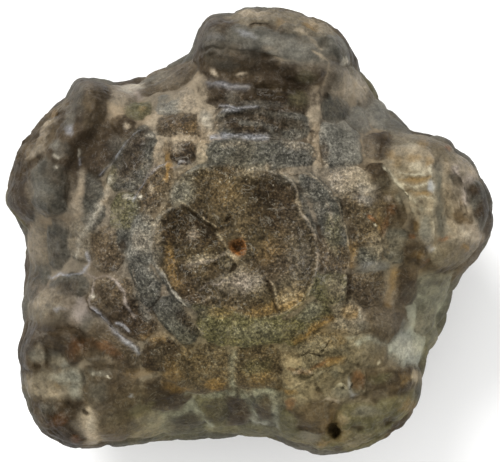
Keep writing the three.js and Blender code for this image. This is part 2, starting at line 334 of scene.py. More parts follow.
# Edges (raised) and cracks (sunk): half width, height, stone and its strength, and the points. Lines in lilac
# sheen are painted highlights along lit edges.
EDGES_AND_CRACKS = (
    # The cracks between the three plates of the facet, and the facet's rim.
    (0.09, -0.3, "umber", 1, ((-5.3, 2.1), (-4.6, 1.5), (-3.9, 1))),
    (0.08, -0.32, "umber", 1, ((-3.9, 1), (-3.4, 0.6), (-2.9, 0.2), (-2.6, -0.1))),
    (0.09, -0.06, "tan", 0.8, ((-2.6, -0.1), (-2.2, -0.5), (-1.8, -1.1))),
    (0.07, -0.2, "umber", 1, ((-0.2, -1), (0.3, -1.8), (0.8, -2.7), (1.35, -3.9))),
    (0.09, -0.32, "umber", 1, ((1.35, -3.9), (1.9, -5), (2.1, -5.6), (2.4, -6.3))),
    (0.06, 0.06, "tan", 0.8, ((-5.5, 2.35), (-4.8, 2.05), (-4.1, 1.45), (-3.4, 0.95), (-2.6, 0.3))),
    (0.06, 0.04, "tan", 0.7, ((1.6, -3.9), (2.1, -4.9), (2.5, -6))),
    (0.11, 0.05, "pink", 0.5, ((-4.8, -2.6), (-3.7, -2.4), (-2.7, -2.4), (-1.9, -1.8))),
    (0.08, 0.05, "pink", 0.6, ((-3.9, -4.6), (-3.2, -4.1), (-2.4, -4.3), (-1.8, -3.8))),
    (0.08, 0.05, "tan", 0.7, ((-3.8, -5.6), (-3, -5.2), (-2.4, -5.4))),
    (0.09, 0.1, "tan", 0.8, ((2.3, 4.6), (3.1, 4.2), (3.8, 3), (4, 2.2), (4.1, 1.3), (4.7, 0.6))),
    (0.05, 0.14, "pale", 0.9, ((-6.9, -3), (-6.4, -4.1), (-6, -4.9), (-5.4, -5.6), (-5, -5.9))),
    (0.12, 0.12, "clay", 0.5, ((-5.5, 2.2), (-6.6, 1.5), (-7.3, 0.8), (-7.8, -0.4), (-7.7, -1.8),
     (-7.2, -2.8))),
    (0.07, 0.04, "tan", 0.45, ((5.1, -3.9), (4.6, -5), (3.8, -5.8), (2.9, -6.4), (1.8, -6.8))),
    (0.08, 0.07, "tan", 0.6, ((4.7, 0.5), (5.1, -0.4), (5.3, -1.3), (5.4, -2.4), (5.2, -3.5))),
    (0.14, -0.12, "umber", 0.5, ((5.5, 0.2), (5.9, -0.8), (5.9, -1.9), (5.7, -3))),
    (0.12, -0.12, "umber", 0.7, ((-3.6, -5.9), (-2.2, -6), (-1.2, -6.2), (-0.4, -6.2))),
    # The circlet round the facet.
    (0.09, 0.08, "tan", 0.6, ((-4.9, -6.4), (-4.4, -7.2), (-3.8, -8.1))),
    (0.07, 0.06, "silt", 0.5, ((-6.9, -6.4), (-6.3, -7.4), (-5.6, -8.2))),
    (0.06, 0.06, "clay", 0.6, ((-9.2, -3), (-8.9, -4.6), (-8, -6.4), (-6.8, -7.6))),
    (0.08, 0.1, "tan", 0.8, ((2.9, 4.6), (3.6, 4.4), (4.3, 4.5), (5.2, 4.3), (5.8, 3.7), (6.4, 2.9),
     (6.8, 2.3))),
    (0.07, 0.08, "tan", 0.7, ((6.8, 2.3), (7.3, 1.2), (7.7, 0), (7.9, -1.4), (7.8, -2.6), (7.4, -3.8))),
    (0.06, 0.06, "clay", 0.6, ((5.8, 2.6), (6.2, 1.6), (6.6, 0.6))),
    (0.08, 0.12, "lilac_sheen", 0.45, ((-6.4, 5.4), (-7.2, 5), (-8.2, 4.1), (-8.9, 3.1), (-9.3, 2.3))),
    (0.07, 0.06, "lilac_sheen", 0.35, ((-6.3, 5), (-5.4, 5.4), (-4.6, 5.4))),
    (0.16, -0.16, "umber", 0.6, ((7.6, -3.9), (7.7, -4.9), (7.3, -5.9))),
    (0.1, -0.1, "umber", 0.5, ((5.6, -3.8), (6.3, -3.6), (7.2, -3.9))),
    (0.2, -0.2, "umber", 0.5, ((7, 2.5), (7.8, 1.2), (8.3, -0.3), (8.5, -1.6))),
    # The steps up the lobe towards +Y, with painted highlights in lilac sheen along their upper edges, and
    # the mud-filled crack beside them.
    (0.18, 0.08, "lilac_sheen", 1.1, ((-3, 7.35), (-1.2, 7.5), (0.2, 7.5), (1.4, 7.4))),
    (0.08, 0.03, "clay", 0.6, ((1.4, 7.4), (2.6, 7.2), (4, 6.95))),
    (0.22, -0.3, "umber", 0.9, ((-2.5, 8.4), (-1.8, 8.9), (-0.4, 9.2), (1, 9.1), (1.9, 8.5), (2.8, 8.3))),
    (0.14, 0.12, "grey", 0.9, ((-0.6, 8.5), (0.4, 8.6), (1.2, 8.4), (1.8, 8))),
    (0.12, 0.04, "lilac_sheen", 0.4, ((-2.4, 9.85), (-0.8, 9.75), (0.6, 9.85))),
    (0.26, 0.02, "lilac_sheen", 0.3, ((-3.2, 11.75), (-2.3, 11.5), (-1.4, 11.4), (-0.4, 11.3))),
    (0.22, -0.2, "umber", 0.7, ((-3.7, 11.6), (-3.8, 11), (-3.3, 10.4), (-2.6, 10.1))),
    (0.16, -0.16, "umber", 0.7, ((-2.5, 9.6), (-2.9, 9), (-2.6, 8.2), (-2.2, 7.8))),
    # Painted shade at the foot of the wall under the right cheek.
    (0.25, -0.15, "umber", 0.8, ((0.4, 12.4), (1.6, 11.9), (2.8, 11.6), (4.2, 11.3))),
    (0.08, -0.15, "tan", 0.9, ((5, 14.2), (5.6, 13.9), (6.2, 13.4), (6.3, 12.8), (6.1, 11.6), (5.9, 10.6))),
    (0.16, -0.25, "umber", 0.6, ((6.5, 13.3), (6.6, 12.4), (6.4, 11.4), (6.1, 10.6))),
    (0.12, -0.25, "umber", 0.6, ((4.9, 7.8), (4.8, 7), (5, 6.3))),
    (0.12, -0.1, "tan", 0.8, ((5.5, 8.3), (5.3, 7.2), (5.2, 6.4), (5.5, 5.7), (6.2, 5.2))),
    (0.16, -0.35, "umber", 0.8, ((0.3, 16.4), (1.2, 16.3), (2, 16), (2.7, 15.8))),
    (0.12, 0.12, "tan", 0.5, ((3.6, 16), (4.4, 15.6), (5, 14.9), (5.6, 14.3))),
    # Between the +Y lobe and the one to its left, and on that lobe.
    (0.09, 0.1, "lilac_sheen", 0.45, ((-8.6, 8.1), (-9.4, 7.4), (-10.2, 6.4), (-11, 5.3), (-11.8, 4.4))),
    (0.08, 0.1, "lilac_sheen", 0.45, ((-7.4, 5.3), (-8.1, 4.4), (-8.8, 3.2), (-9.1, 2.5))),
    (0.14, -0.1, "ochre", 0.8, ((-6.2, 6.8), (-6.4, 5.8), (-6.5, 4.8), (-6.6, 3.8))),
    (0.22, -0.1, "tan", 1.2, ((-5.4, 7.5), (-6.2, 6.9), (-6.8, 6.2), (-7.4, 5.4))),
    (0.1, -0.16, "umber", 0.5, ((-6.3, 6.4), (-6.9, 5.8), (-7.5, 5.1))),
    (0.25, -0.1, "clay", 0.8, ((-16.8, 1.5), (-15.6, 1), (-14.2, 0.2))),
    (0.24, 0.06, "tan", 0.7, ((-13.2, 3.7), (-13.4, 2.6), (-13.8, 1.2))),
    (0.16, 0.08, "pale", 0.45, ((-11, 4.2), (-11.6, 2.6), (-12.4, 0.9), (-13.3, -0.6), (-13.9, -2.1))),
    # Painted glints: small white highlights on the lower knuckle and the plate beside it.
    (0.13, 0.14, "pale", 1.3, ((-15.15, 6), (-14.9, 5.75))),
    (0.08, 0.1, "pale", 1.3, ((-15.25, 5.05), (-15.15, 4.95))),
    (0.08, 0.08, "pale", 1.2, ((-13.4, 6.3), (-13.5, 5.9))),
    (0.07, 0.05, "lilac_sheen", 0.7, ((-13.4, 5.7), (-13.3, 5.2))),
    # An umber band down the ridge's right side: brown stone, partly painted shade on the side turned from the
    # light.
    (0.5, -0.2, "umber", 0.6, ((-11.5, 11), (-11.5, 9.4), (-12.2, 7.9), (-13.5, 6.3), (-14, 4.4),
     (-14.4, 2.6))),
    # The lobe towards -X and -Y and the field above it.
    (0.18, 0.24, "lilac_sheen", 0.8, ((-12.4, -6.1), (-11.9, -6.5), (-11.2, -7.3), (-10.3, -8.3), (-9.6, -8.9))),
    (0.13, 0.16, "lilac_sheen", 0.7, ((-9.6, -8.9), (-9.2, -9.3), (-8.8, -9.7))),
    (0.09, 0.14, "lilac_sheen", 0.7, ((-10.3, -7.3), (-9.9, -7.5), (-9.6, -7.9))),
    (0.1, 0.08, "lilac_sheen", 0.8, ((-12.9, -1.6), (-13, -2.6), (-13.4, -3.2), (-14.2, -3.6), (-15, -3.3),
     (-15.9, -3.6))),
    (0.09, 0.06, "pink", 0.9, ((-12.3, -3.6), (-11.4, -3.3), (-10.4, -3.7), (-9.9, -4.6), (-9.6, -5.6),
     (-8.9, -6.9))),
    (0.09, 0.06, "pink", 0.8, ((-13.4, -3.2), (-12.3, -3.6), (-12.4, -4.6), (-12.7, -5.6), (-12.4, -6.1))),
    (0.35, -0.2, "umber", 0.6, ((-16.6, -7.6), (-15.2, -7.3), (-13.8, -7.9), (-12.8, -8.8), (-12.3, -9.8))),
    (0.5, 0.25, "umber", 0.35, ((-18.1, -9.6), (-17.4, -8.6), (-16.2, -8), (-14.8, -8), (-13.4, -8.6),
     (-12.5, -9.4))),
    (0.1, -0.12, "umber", 0.4, ((-13.25, -11.3), (-13.2, -12.4), (-13.1, -13.6))),
    (0.15, -0.2, "umber", 0.6, ((-18.2, -11.1), (-17.4, -11.2), (-16.6, -11.1))),
    (0.18, -0.2, "umber", 0.5, ((-17.2, -14.4), (-16.6, -13.4), (-15.4, -13.2), (-14.2, -13.8),
     (-13.8, -14.8))),
    (0.2, -0.15, "umber", 0.5, ((-8.1, -13.5), (-8.5, -15.1), (-9.8, -16.1), (-11.1, -16.8))),
    # The wide field towards -Y.
    (0.22, 0.08, "silt", 0.8, ((-1.3, -9.8), (-1.4, -11.2), (-1.2, -12.7))),
    (0.2, 0.08, "silt", 0.8, ((-0.5, -12.9), (0.8, -12.8), (1.9, -12.9), (2.2, -14), (2.3, -15.4))),
    (0.18, 0.08, "silt", 0.8, ((-0.2, -13), (0.1, -14), (0.4, -15.2), (1.4, -15.2))),
    (0.22, 0.08, "silt", 0.8, ((-4.4, -13.9), (-3.7, -14.8), (-3, -15.6))),
    (0.16, 0.05, "silt", 0.6, ((-6.8, -14.7), (-5.6, -14.2), (-4.5, -14))),
    (0.12, -0.08, "silt", 0.5, ((-1.5, -12.8), (-3, -13), (-5, -13))),
    (0.12, 0.08, "clay", 0.6, ((-3.3, -9.2), (-2.8, -10), (-2.4, -10.8))),
    # The worn lobe towards +X and -Y.
    (0.08, 0.1, "clay", 0.5, ((7.9, -11.4), (8.4, -10.9), (9.2, -11.1), (9.4, -12.2), (8.9, -13),
     (8.2, -13.3))),
    (0.1, 0.1, "lilac_sheen", 0.6, ((7.9, -11.6), (7.9, -12.4), (8.2, -13.2))),
    (0.08, -0.18, "umber", 0.7, ((3.2, -9.6), (4, -9.9), (4.7, -9.6), (5.6, -9.8))),
    (0.07, -0.15, "umber", 0.7, ((5.2, -12.2), (5.8, -12.9), (5.7, -13.6))),
    (0.07, 0.12, "pale", 0.7, ((6.6, -12.6), (7.3, -12.1), (7.7, -12.5))),
    (0.07, 0.1, "tan", 0.8, ((6, -11.7), (6.3, -11), (7, -10.8), (7.5, -11.1))),
    (0.06, 0.1, "pink", 0.8, ((3.4, -11.2), (4.2, -10.9), (5, -11.2))),
    (0.06, 0.08, "pink", 0.7, ((5.1, -13.6), (6.1, -13.3), (7, -13.7))),
    (0.06, 0.08, "tan", 0.7, ((3.2, -13.3), (3.9, -13), (4.6, -13.4))),
    (0.14, -0.08, "rust", 0.5, ((3.1, -10.8), (4.4, -11.1), (5.4, -10.7), (6.1, -10.2), (7.1, -10))),
    (0.2, -0.1, "ochre", 0.9, ((3.7, -8.7), (4.4, -8.2), (5.2, -7.6), (6.4, -7))),
    (0.25, -0.22, "umber", 0.7, ((8, -13.3), (9.3, -13), (10.7, -12.4), (12.1, -11.8))),
    (0.16, 0.08, "silt", 0.7, ((8.4, -8.9), (9.4, -8.5), (10.3, -8.8))),
    (0.18, 0.06, "silt", 0.9, ((12.9, -6.4), (12.9, -7.4), (12.7, -8.4))),
    # The lobe towards +X and the field beside it.
    (0.13, 0.18, "pale", 1.1, ((10.7, 5.2), (11.4, 4.1), (12, 3.3), (12.4, 2.7), (13, 2.2))),
    (0.1, -0.1, "ochre", 0.6, ((11.8, 4), (12.8, 4.1), (13.6, 4), (14.4, 4.2))),
    (0.1, -0.1, "ochre", 0.6, ((12.3, 3.1), (13.2, 3.1), (14.3, 2.9))),
    (0.06, 0.06, "pale", 0.8, ((12.9, 2.5), (13.6, 2.6), (14.4, 2.4))),
    (0.06, 0.06, "pale", 0.6, ((13.3, 1.6), (13.9, 1.7), (14.5, 1.5))),
    # A painted highlight along the ridge's crest, and painted shade in grey down the groove beside it.
    (0.07, 0.08, "pale", 0.6, ((14.5, 4.9), (14.55, 3.2), (14.6, 1.5), (14.65, -0.6), (14.8, -1.6))),
    (0.3, -0.05, "grey", 0.9, ((14.95, 5.2), (14.95, 3.4), (15.05, 1.8), (15.1, 0.4), (15.3, -0.3))),
    (0.25, -0.1, "umber", 0.3, ((13.7, -2.8), (15.2, -3), (16.6, -3.2))),
    (0.2, 0.3, "tan", 0.8, ((15.5, 4.7), (15.4, 3.4), (15.6, 2.4), (16.2, 1.5))),
    (0.18, 0.35, "clay", 0.8, ((15.9, 4.3), (16, 3.4), (16.5, 2.6), (16.7, 1.8))),
    (0.2, 0.4, "pink", 0.8, ((16.4, 5), (16.9, 4), (17.1, 3), (17.2, 2.1))),
    (0.06, 0.08, "pale", 1, ((11.9, 4.5), (12.8, 4.4), (13.7, 4.5))),
    (0.05, 0.06, "pale", 1, ((12.1, 3.6), (13, 3.5), (14, 3.7))),
    (0.12, -0.2, "umber", 0.8, ((15.6, 3.1), (15.4, 2.1), (15.8, 1.1), (16.8, 0.7))),
    (0.2, -0.2, "umber", 0.6, ((10.6, 4.2), (11, 2.8), (11.8, 1.6), (12.3, 0.4), (12.8, -1), (13.2, -2.4))),
    (0.25, 0.05, "ochre", 0.7, ((8, -0.9), (8.2, -1.8), (8.1, -2.8))),
    (0.2, 0.08, "tan", 0.5, ((10.3, -0.9), (10.1, -2), (9.8, -2.9))),
    (0.3, 0.02, "ochre", 0.7, ((11.4, -3.2), (11.4, -4.4), (11.1, -5.6))),
)
# Plates: place, half length, half width, tilt in degrees, stone, height of the swelling.
PLATES = (
    # Round the facet: the circlet that carries it.
    (-5.1, 6.2, 0.95, 0.75, 20, "umber", 0.3), (0.9, 6.1, 4, 0.95, -2, "slate", 0.25),
    (5.4, 3.3, 1.3, 0.8, -50, "slate", 0.3), (6.6, 0.8, 2.1, 0.9, -72, "slate", 0.25),
    (6.7, -1.9, 1.3, 0.95, -85, "brown", 0.25), (6.5, -4.6, 1.2, 1.2, 0, "olive", 0.35),
    (4.6, -7.3, 1.8, 0.9, 35, "olive", 0.2), (0.8, -8, 2.5, 0.95, 0, "olive", 0.2),
    (-2.6, -7.7, 1.3, 1, -10, "olive", 0.15), (-5.9, -7, 1.8, 0.85, -52, "slate", 0.3),
    (-8.3, -4.2, 1.7, 0.8, -68, "slate", 0.25), (-8.6, -0.8, 1.9, 0.8, 88, "grey", 0.15),
    (-7.7, 3.2, 1.8, 0.8, 60, "brown", 0.2),
    # Up the lobe towards +Y: thick bars, the hollow under the cheeks, and the broken end.
    (1, 8.4, 3.5, 1.05, -2, "slate", 0.05), (1.2, 10.6, 3.9, 1.05, -4, "umber", 0.05),
    (0.5, 12.6, 4.4, 0.9, -8, "umber", 0.05), (1.6, 15, 4, 0.9, -8, "slate", 0.06),
    (-2.9, 16, 1.4, 1.4, 0, "umber", 0.05), (7.1, 14.8, 1.2, 1.1, -15, "slate", 0.1),
    (2.5, 16.8, 3.6, 0.8, -8, "drab", 0.05),
    # Between the +Y and the +X lobes.
    (7.2, 6.8, 1.45, 1.6, 10, "grey", 0.45), (6.9, 9.7, 1, 1, 0, "slate", 0.35),
    (8.7, 8.9, 0.85, 0.95, 0, "grey", 0.25), (7.3, 11.9, 0.85, 1.1, 10, "clay", 0.25),
    (9, 11.4, 0.8, 1.6, 30, "drab", 0.15), (10.3, 9.4, 0.8, 1.2, 30, "grey", 0.25),
    (10.2, 6.9, 1, 0.95, 0, "umber", 0.3), (11.7, 8.4, 1.2, 0.7, -35, "slate", 0.2),
    (8.1, 4, 1.5, 0.95, -15, "clay", 0.2), (10.1, 4.4, 0.8, 1, 20, "umber", 0.25),
    # The +X lobe.
    (8.7, 1.9, 1.1, 1, -20, "brown", 0.25), (9.3, -0.2, 0.95, 1.2, 10, "brown", 0.3),
    (11, 1.6, 0.8, 1.7, 15, "brown", 0.3), (11.5, -1.2, 0.9, 1.2, 0, "slate", 0.3),
    (12.8, 5.3, 1.6, 1.8, 0, "clay", 0.06), (13.6, 1.2, 0.9, 2, 10, "clay", 0.06),
    (13, -1.9, 0.9, 1, 10, "brown", 0.25), (13.2, 7.2, 1.8, 0.6, 0, "drab", 0.15),
    (15.6, 6.5, 0.9, 0.8, -20, "drab", 0.12), (16.4, 2.4, 1.6, 3, 0, "clay", 0.04),
    (18.2, 2.4, 0.9, 1.6, 0, "slate", 0.25), (16, -1.8, 1.6, 0.9, 25, "drab", 0.15),
    # Between the +X lobe and the one to its right.
    (9.3, -1.9, 0.9, 0.9, 0, "slate", 0.3), (9.4, -4.6, 1.4, 1.2, 0, "brown", 0.4),
    (12.5, -4.4, 0.9, 1.3, 0, "umber", 0.3), (10.9, -7.2, 1.5, 1.3, 10, "brown", 0.35),
    (7.9, -6.8, 1.2, 1.1, 0, "clay", 0.3), (14.1, -6.8, 0.9, 1.3, 0, "grey", 0.35),
    (14.9, -4.6, 1.1, 0.9, 0, "grey", 0.2), (12.7, -9.1, 1.2, 1.2, 0, "silt", 0.15),
    (15.1, -9, 0.7, 1.2, 10, "grey", 0.2), (9.4, -9.5, 1.4, 1.1, 0, "drab", 0.2),
    # The worn lobe towards +X and -Y.
    (6, -9.6, 1.6, 1.2, 0, "drab", 0.1), (4, -12.3, 1.3, 1.6, 0, "drab", 0.1),
    (7.4, -12.2, 1.7, 1.4, 0, "drab", 0.1), (5.3, -14.7, 1.9, 1.2, 0, "brown", 0.15),
    (11.4, -11.9, 1.7, 1.2, 10, "umber", 0.25), (8.6, -15.6, 2.2, 1.6, 0, "olive", 0.15),
    (11.8, -14, 1.4, 1.1, 10, "olive", 0.25),
    # The wide field towards -Y.
    (0.6, -11, 1.8, 1.8, 0, "brown", 0.28), (-3.9, -11.1, 2.5, 1.8, 0, "brown", 0.26),
    (1.2, -14.1, 1.2, 1.3, 0, "slate", 0.2), (-1, -14.2, 1, 1.6, 10, "umber", 0.2),
    (-2.8, -14.2, 1.1, 1.5, 10, "olive", 0.2), (-5.2, -15.3, 1.4, 1.2, 0, "slate", 0.25),
    (-6.6, -13.2, 1.6, 1.1, 0, "umber", 0.25), (0.6, -16.2, 2.4, 0.7, 0, "olive", 0.15),
    (3.3, -15.4, 0.9, 1, 0, "olive", 0.2), (-8.2, -15.6, 1.3, 1.1, 0, "drab", 0.15),
    # The lobe towards -X and -Y.
    (-6.9, -9.9, 1.5, 1.2, 0, "umber", 0.3), (-11, -9.6, 1.9, 1.3, -35, "brown", 0.2),
    (-11.2, -12.5, 1.9, 1.4, 0, "brown", 0.3), (-10.8, -15.5, 1.4, 1.3, 0, "brown", 0.25),
    (-9.2, -6.8, 1.6, 1.3, -38, "umber", 0.16), (-11.1, -5.1, 1.6, 1.3, -15, "brown", 0.16),
    (-14.9, -9.2, 2, 1.4, 20, "umber", 0.08), (-15.8, -12.2, 2.4, 1.1, 0, "drab", 0.06),
    (-15.1, -15.3, 2.2, 2.2, 0, "umber", 0.08), (-17.6, -9.6, 0.9, 1.6, 0, "umber", 0.08),
    (-12.5, -15.6, 0.6, 1.5, 5, "tan", 0.06),
    # Between that lobe and the next.
    (-11.3, -1.2, 1.4, 1.4, 0, "brown", 0.25), (-15.9, -5.6, 1.7, 1.1, 0, "drab", 0.15),
    (-15.3, -1, 0.9, 1.6, 0, "slate", 0.3), (-17, -1.2, 0.7, 1.6, 0, "drab", 0.15),
    (-17.1, -4.2, 0.8, 1.3, -15, "slate", 0.25), (-14.3, -4.4, 1.3, 0.8, 0, "slate", 0.25),
    (-9.9, 1.5, 0.9, 1.5, 0, "olive", 0.12), (-12.5, 2.4, 0.8, 2.2, 0, "slate", 0.35),
    (-9.9, -0.6, 0.6, 1.1, 0, "slate", 0.2), (-13.5, -0.8, 0.8, 1.3, 0, "drab", 0.15),
    # Between the -X and the +Y lobes.
    (-9.2, 5.8, 1.3, 2.5, -28, "slate", 0.4), (-12, 6.3, 1.1, 2.4, -28, "umber", 0.1),
    (-10, 8.4, 0.9, 0.8, 0, "umber", 0.25), (-8.8, 9.8, 0.9, 0.6, 0, "olive", 0.3),
    (-5.5, 8.4, 1.5, 0.9, 0, "brown", 0.35), (-6.2, 9.9, 1, 0.6, 0, "grey", 0.25),
    (-10, 10.8, 0.9, 1, 0, "clay", 0.1), (-6.8, 12.2, 2.1, 1, 15, "brown", 0.25),
    (-4.9, 10.3, 0.8, 0.8, 0, "clay", 0.1),
    # The lobe towards -X and +Y.
    (-13.3, 10, 1.7, 2.4, -5, "umber", 0.06), (-14.6, 6.7, 1, 1.6, -25, "umber", 0.06),
    (-16.9, 7, 1.6, 2.3, -35, "brown", 0.06), (-15.9, 3.5, 1.4, 2.1, 0, "slate", 0.08),
    (-13.3, 3.3, 0.7, 1.6, 0, "clay", 0.06), (-18.5, 2.6, 1, 1.6, 0, "umber", 0.12),
    (-18.4, 4.9, 0.8, 0.9, 0, "brown", 0.08),
)
# Where hardened mud stands higher in the hollows: place, half length, half width, tilt in degrees,
# level against the middle of a plate, and the mud's colour.
MUD = (
    # Beside the +Y lobe, and in the field towards -X and +Y.
    (-7.3, 8.9, 0.9, 0.7, -20, 0.04, "tan"), (-10.3, 10, 0.8, 1.2, 0, 0.08, "tan"),
    (-9.4, 11.3, 1.3, 0.6, 5, 0.04, "pink"), (-4.3, 10.2, 1.3, 1, 0, 0.04, "tan"),
    (-4.1, 11.2, 0.7, 1, 0, 0.08, "tan"), (-3.1, 8.6, 0.8, 1.2, 25, 0.12, "tan"),
    (-3.2, 9, 0.6, 0.9, 25, 0.14, "tan"), (-3.2, 8.8, 0.4, 0.6, 25, 0.16, "pale"),
    (-6.9, 10.6, 1.5, 0.45, 12, 0.04, "clay"), (-5.9, 7.3, 1.6, 0.4, -5, 0.06, "tan"),
    (-3.7, 6.3, 0.5, 1, 0, 0.06, "tan"), (-7, 6.6, 0.4, 1.3, -20, 0.02, "tan"),
    (-6.5, 5.2, 0.22, 1.4, 0, 0.03, "ochre"), (5.2, 9.6, 0.55, 1.8, 0, 0.08, "tan"),
    (5.2, 6.3, 0.4, 1.4, 15, 0.02, "tan"), (4.5, 4.6, 1.4, 0.35, -15, 0, "clay"),
    (8.2, 11.5, 0.7, 1.3, 25, 0.14, "tan"), (8.4, 4.2, 1.5, 0.5, -20, 0, "clay"),
    # Towards -X.
    (-9.4, 2.4, 0.8, 0.7, 0, -0.06, "clay"), (-13.3, 2.8, 0.45, 1.8, 0, 0.06, "clay"),
    (-11.5, 2.6, 0.3, 1.7, -22, 0.06, "tan"), (-10.2, 1.2, 1.4, 1, 10, -0.02, "clay"),
    (-12.6, 0.6, 1.3, 0.4, -20, -0.04, "clay"), (-17, -1, 0.9, 1.6, 0, 0.06, "tan"),
    (-13.6, -1.2, 0.4, 1.5, 0, -0.06, "drab"), (-16.2, -6.4, 1.8, 0.9, 10, -0.04, "drab"),
    (-16.4, -5.2, 1.2, 0.9, 0, -0.08, "pink"), (-9.2, 0, 0.9, 2.5, 0, -0.12, "grey"),
    (-12.6, -3.9, 2, 0.5, 0, -0.1, "clay"), (-13.8, -6, 1.2, 0.7, -30, -0.12, "pink"),
    # Towards -Y.
    (-3, -14.8, 5, 2.2, 0, -0.3, "silt"), (-7.4, -15.3, 1.2, 0.9, 0, 0, "silt"),
    (3.1, -11.5, 0.6, 0.8, 0, 0.05, "tan"), (3.3, -10.3, 1, 0.6, 0, 0.02, "tan"),
    # Towards +X.
    (12.7, -9.1, 1.6, 1, -20, 0.02, "silt"), (14.8, -5.6, 1.6, 1.7, 0, -0.06, "silt"),
    (12.9, -7.2, 0.4, 1.3, 0, 0.06, "silt"), (15, -9, 0.6, 1.3, 0, 0, "silt"),
    (9.3, -8.8, 1.4, 0.5, 0, 0, "silt"), (9.6, -2.8, 1.4, 0.6, 0, 0, "grey"),
    (11.3, -4.4, 0.4, 1.3, 0, -0.08, "clay"),
)
# Broken and rotted ground: place, half length, half width, tilt in degrees, roughness.
ROUGH_GROUND = (
    (2.5, 16.7, 4.5, 1.1, -8, 1), (-16.6, 7.4, 1.5, 3.2, -35, 0.8), (-15.5, -13.5, 3.2, 2.8, 0, 0.7),
    (6.6, -11.2, 3.6, 3, 0, 1), (8.5, -15.8, 4.8, 2, 12, 0.6), (16.6, 2.2, 2, 3.2, 0, 0.55),
    (-1.8, -3.9, 3, 2, 0, 0.6), (-9, 9.8, 3.2, 2.2, 0, 0.4), (12.9, 3, 1.8, 3.6, 0, 0.4),
    (-11.5, -10.8, 2, 1.2, -10, 0.6), (-11, 1, 3, 2.5, 0, 0.4), (12.5, -9.5, 2, 1.8, 0, 0.4),
    (1.8, 1.8, 2.2, 2.6, 0, 0.3), (9.5, 1, 2.5, 2.5, 0, 0.4), (-11.5, -5.5, 4, 3, 0, 0.5),
    (-14, 0.5, 2.5, 4, 0, 0.4), (-15.5, -6, 2, 1.5, 0, 0.7),
)
# Where a painted light cast tints the stone greenish yellow, for the warmer light on the lower fields: place,
# half length, half width, tilt, strength.
OLIVE_LIGHT_CAST = (
    (3.5, -6.5, 5, 2.5, 0, 0.7), (1.5, -10.5, 9.5, 4.5, 0, 1), (9, -14, 7, 4, 0, 0.65),
    (-6.5, -15, 5, 3.5, 0, 0.9), (12, 0.5, 4.5, 5.5, 0, 0.5), (15, -6, 2.5, 5, 0, 0.8),
    (-14.5, -12, 4, 4, 0, 0.35), (-2, 1, 5, 5, 0, 0.5),
)
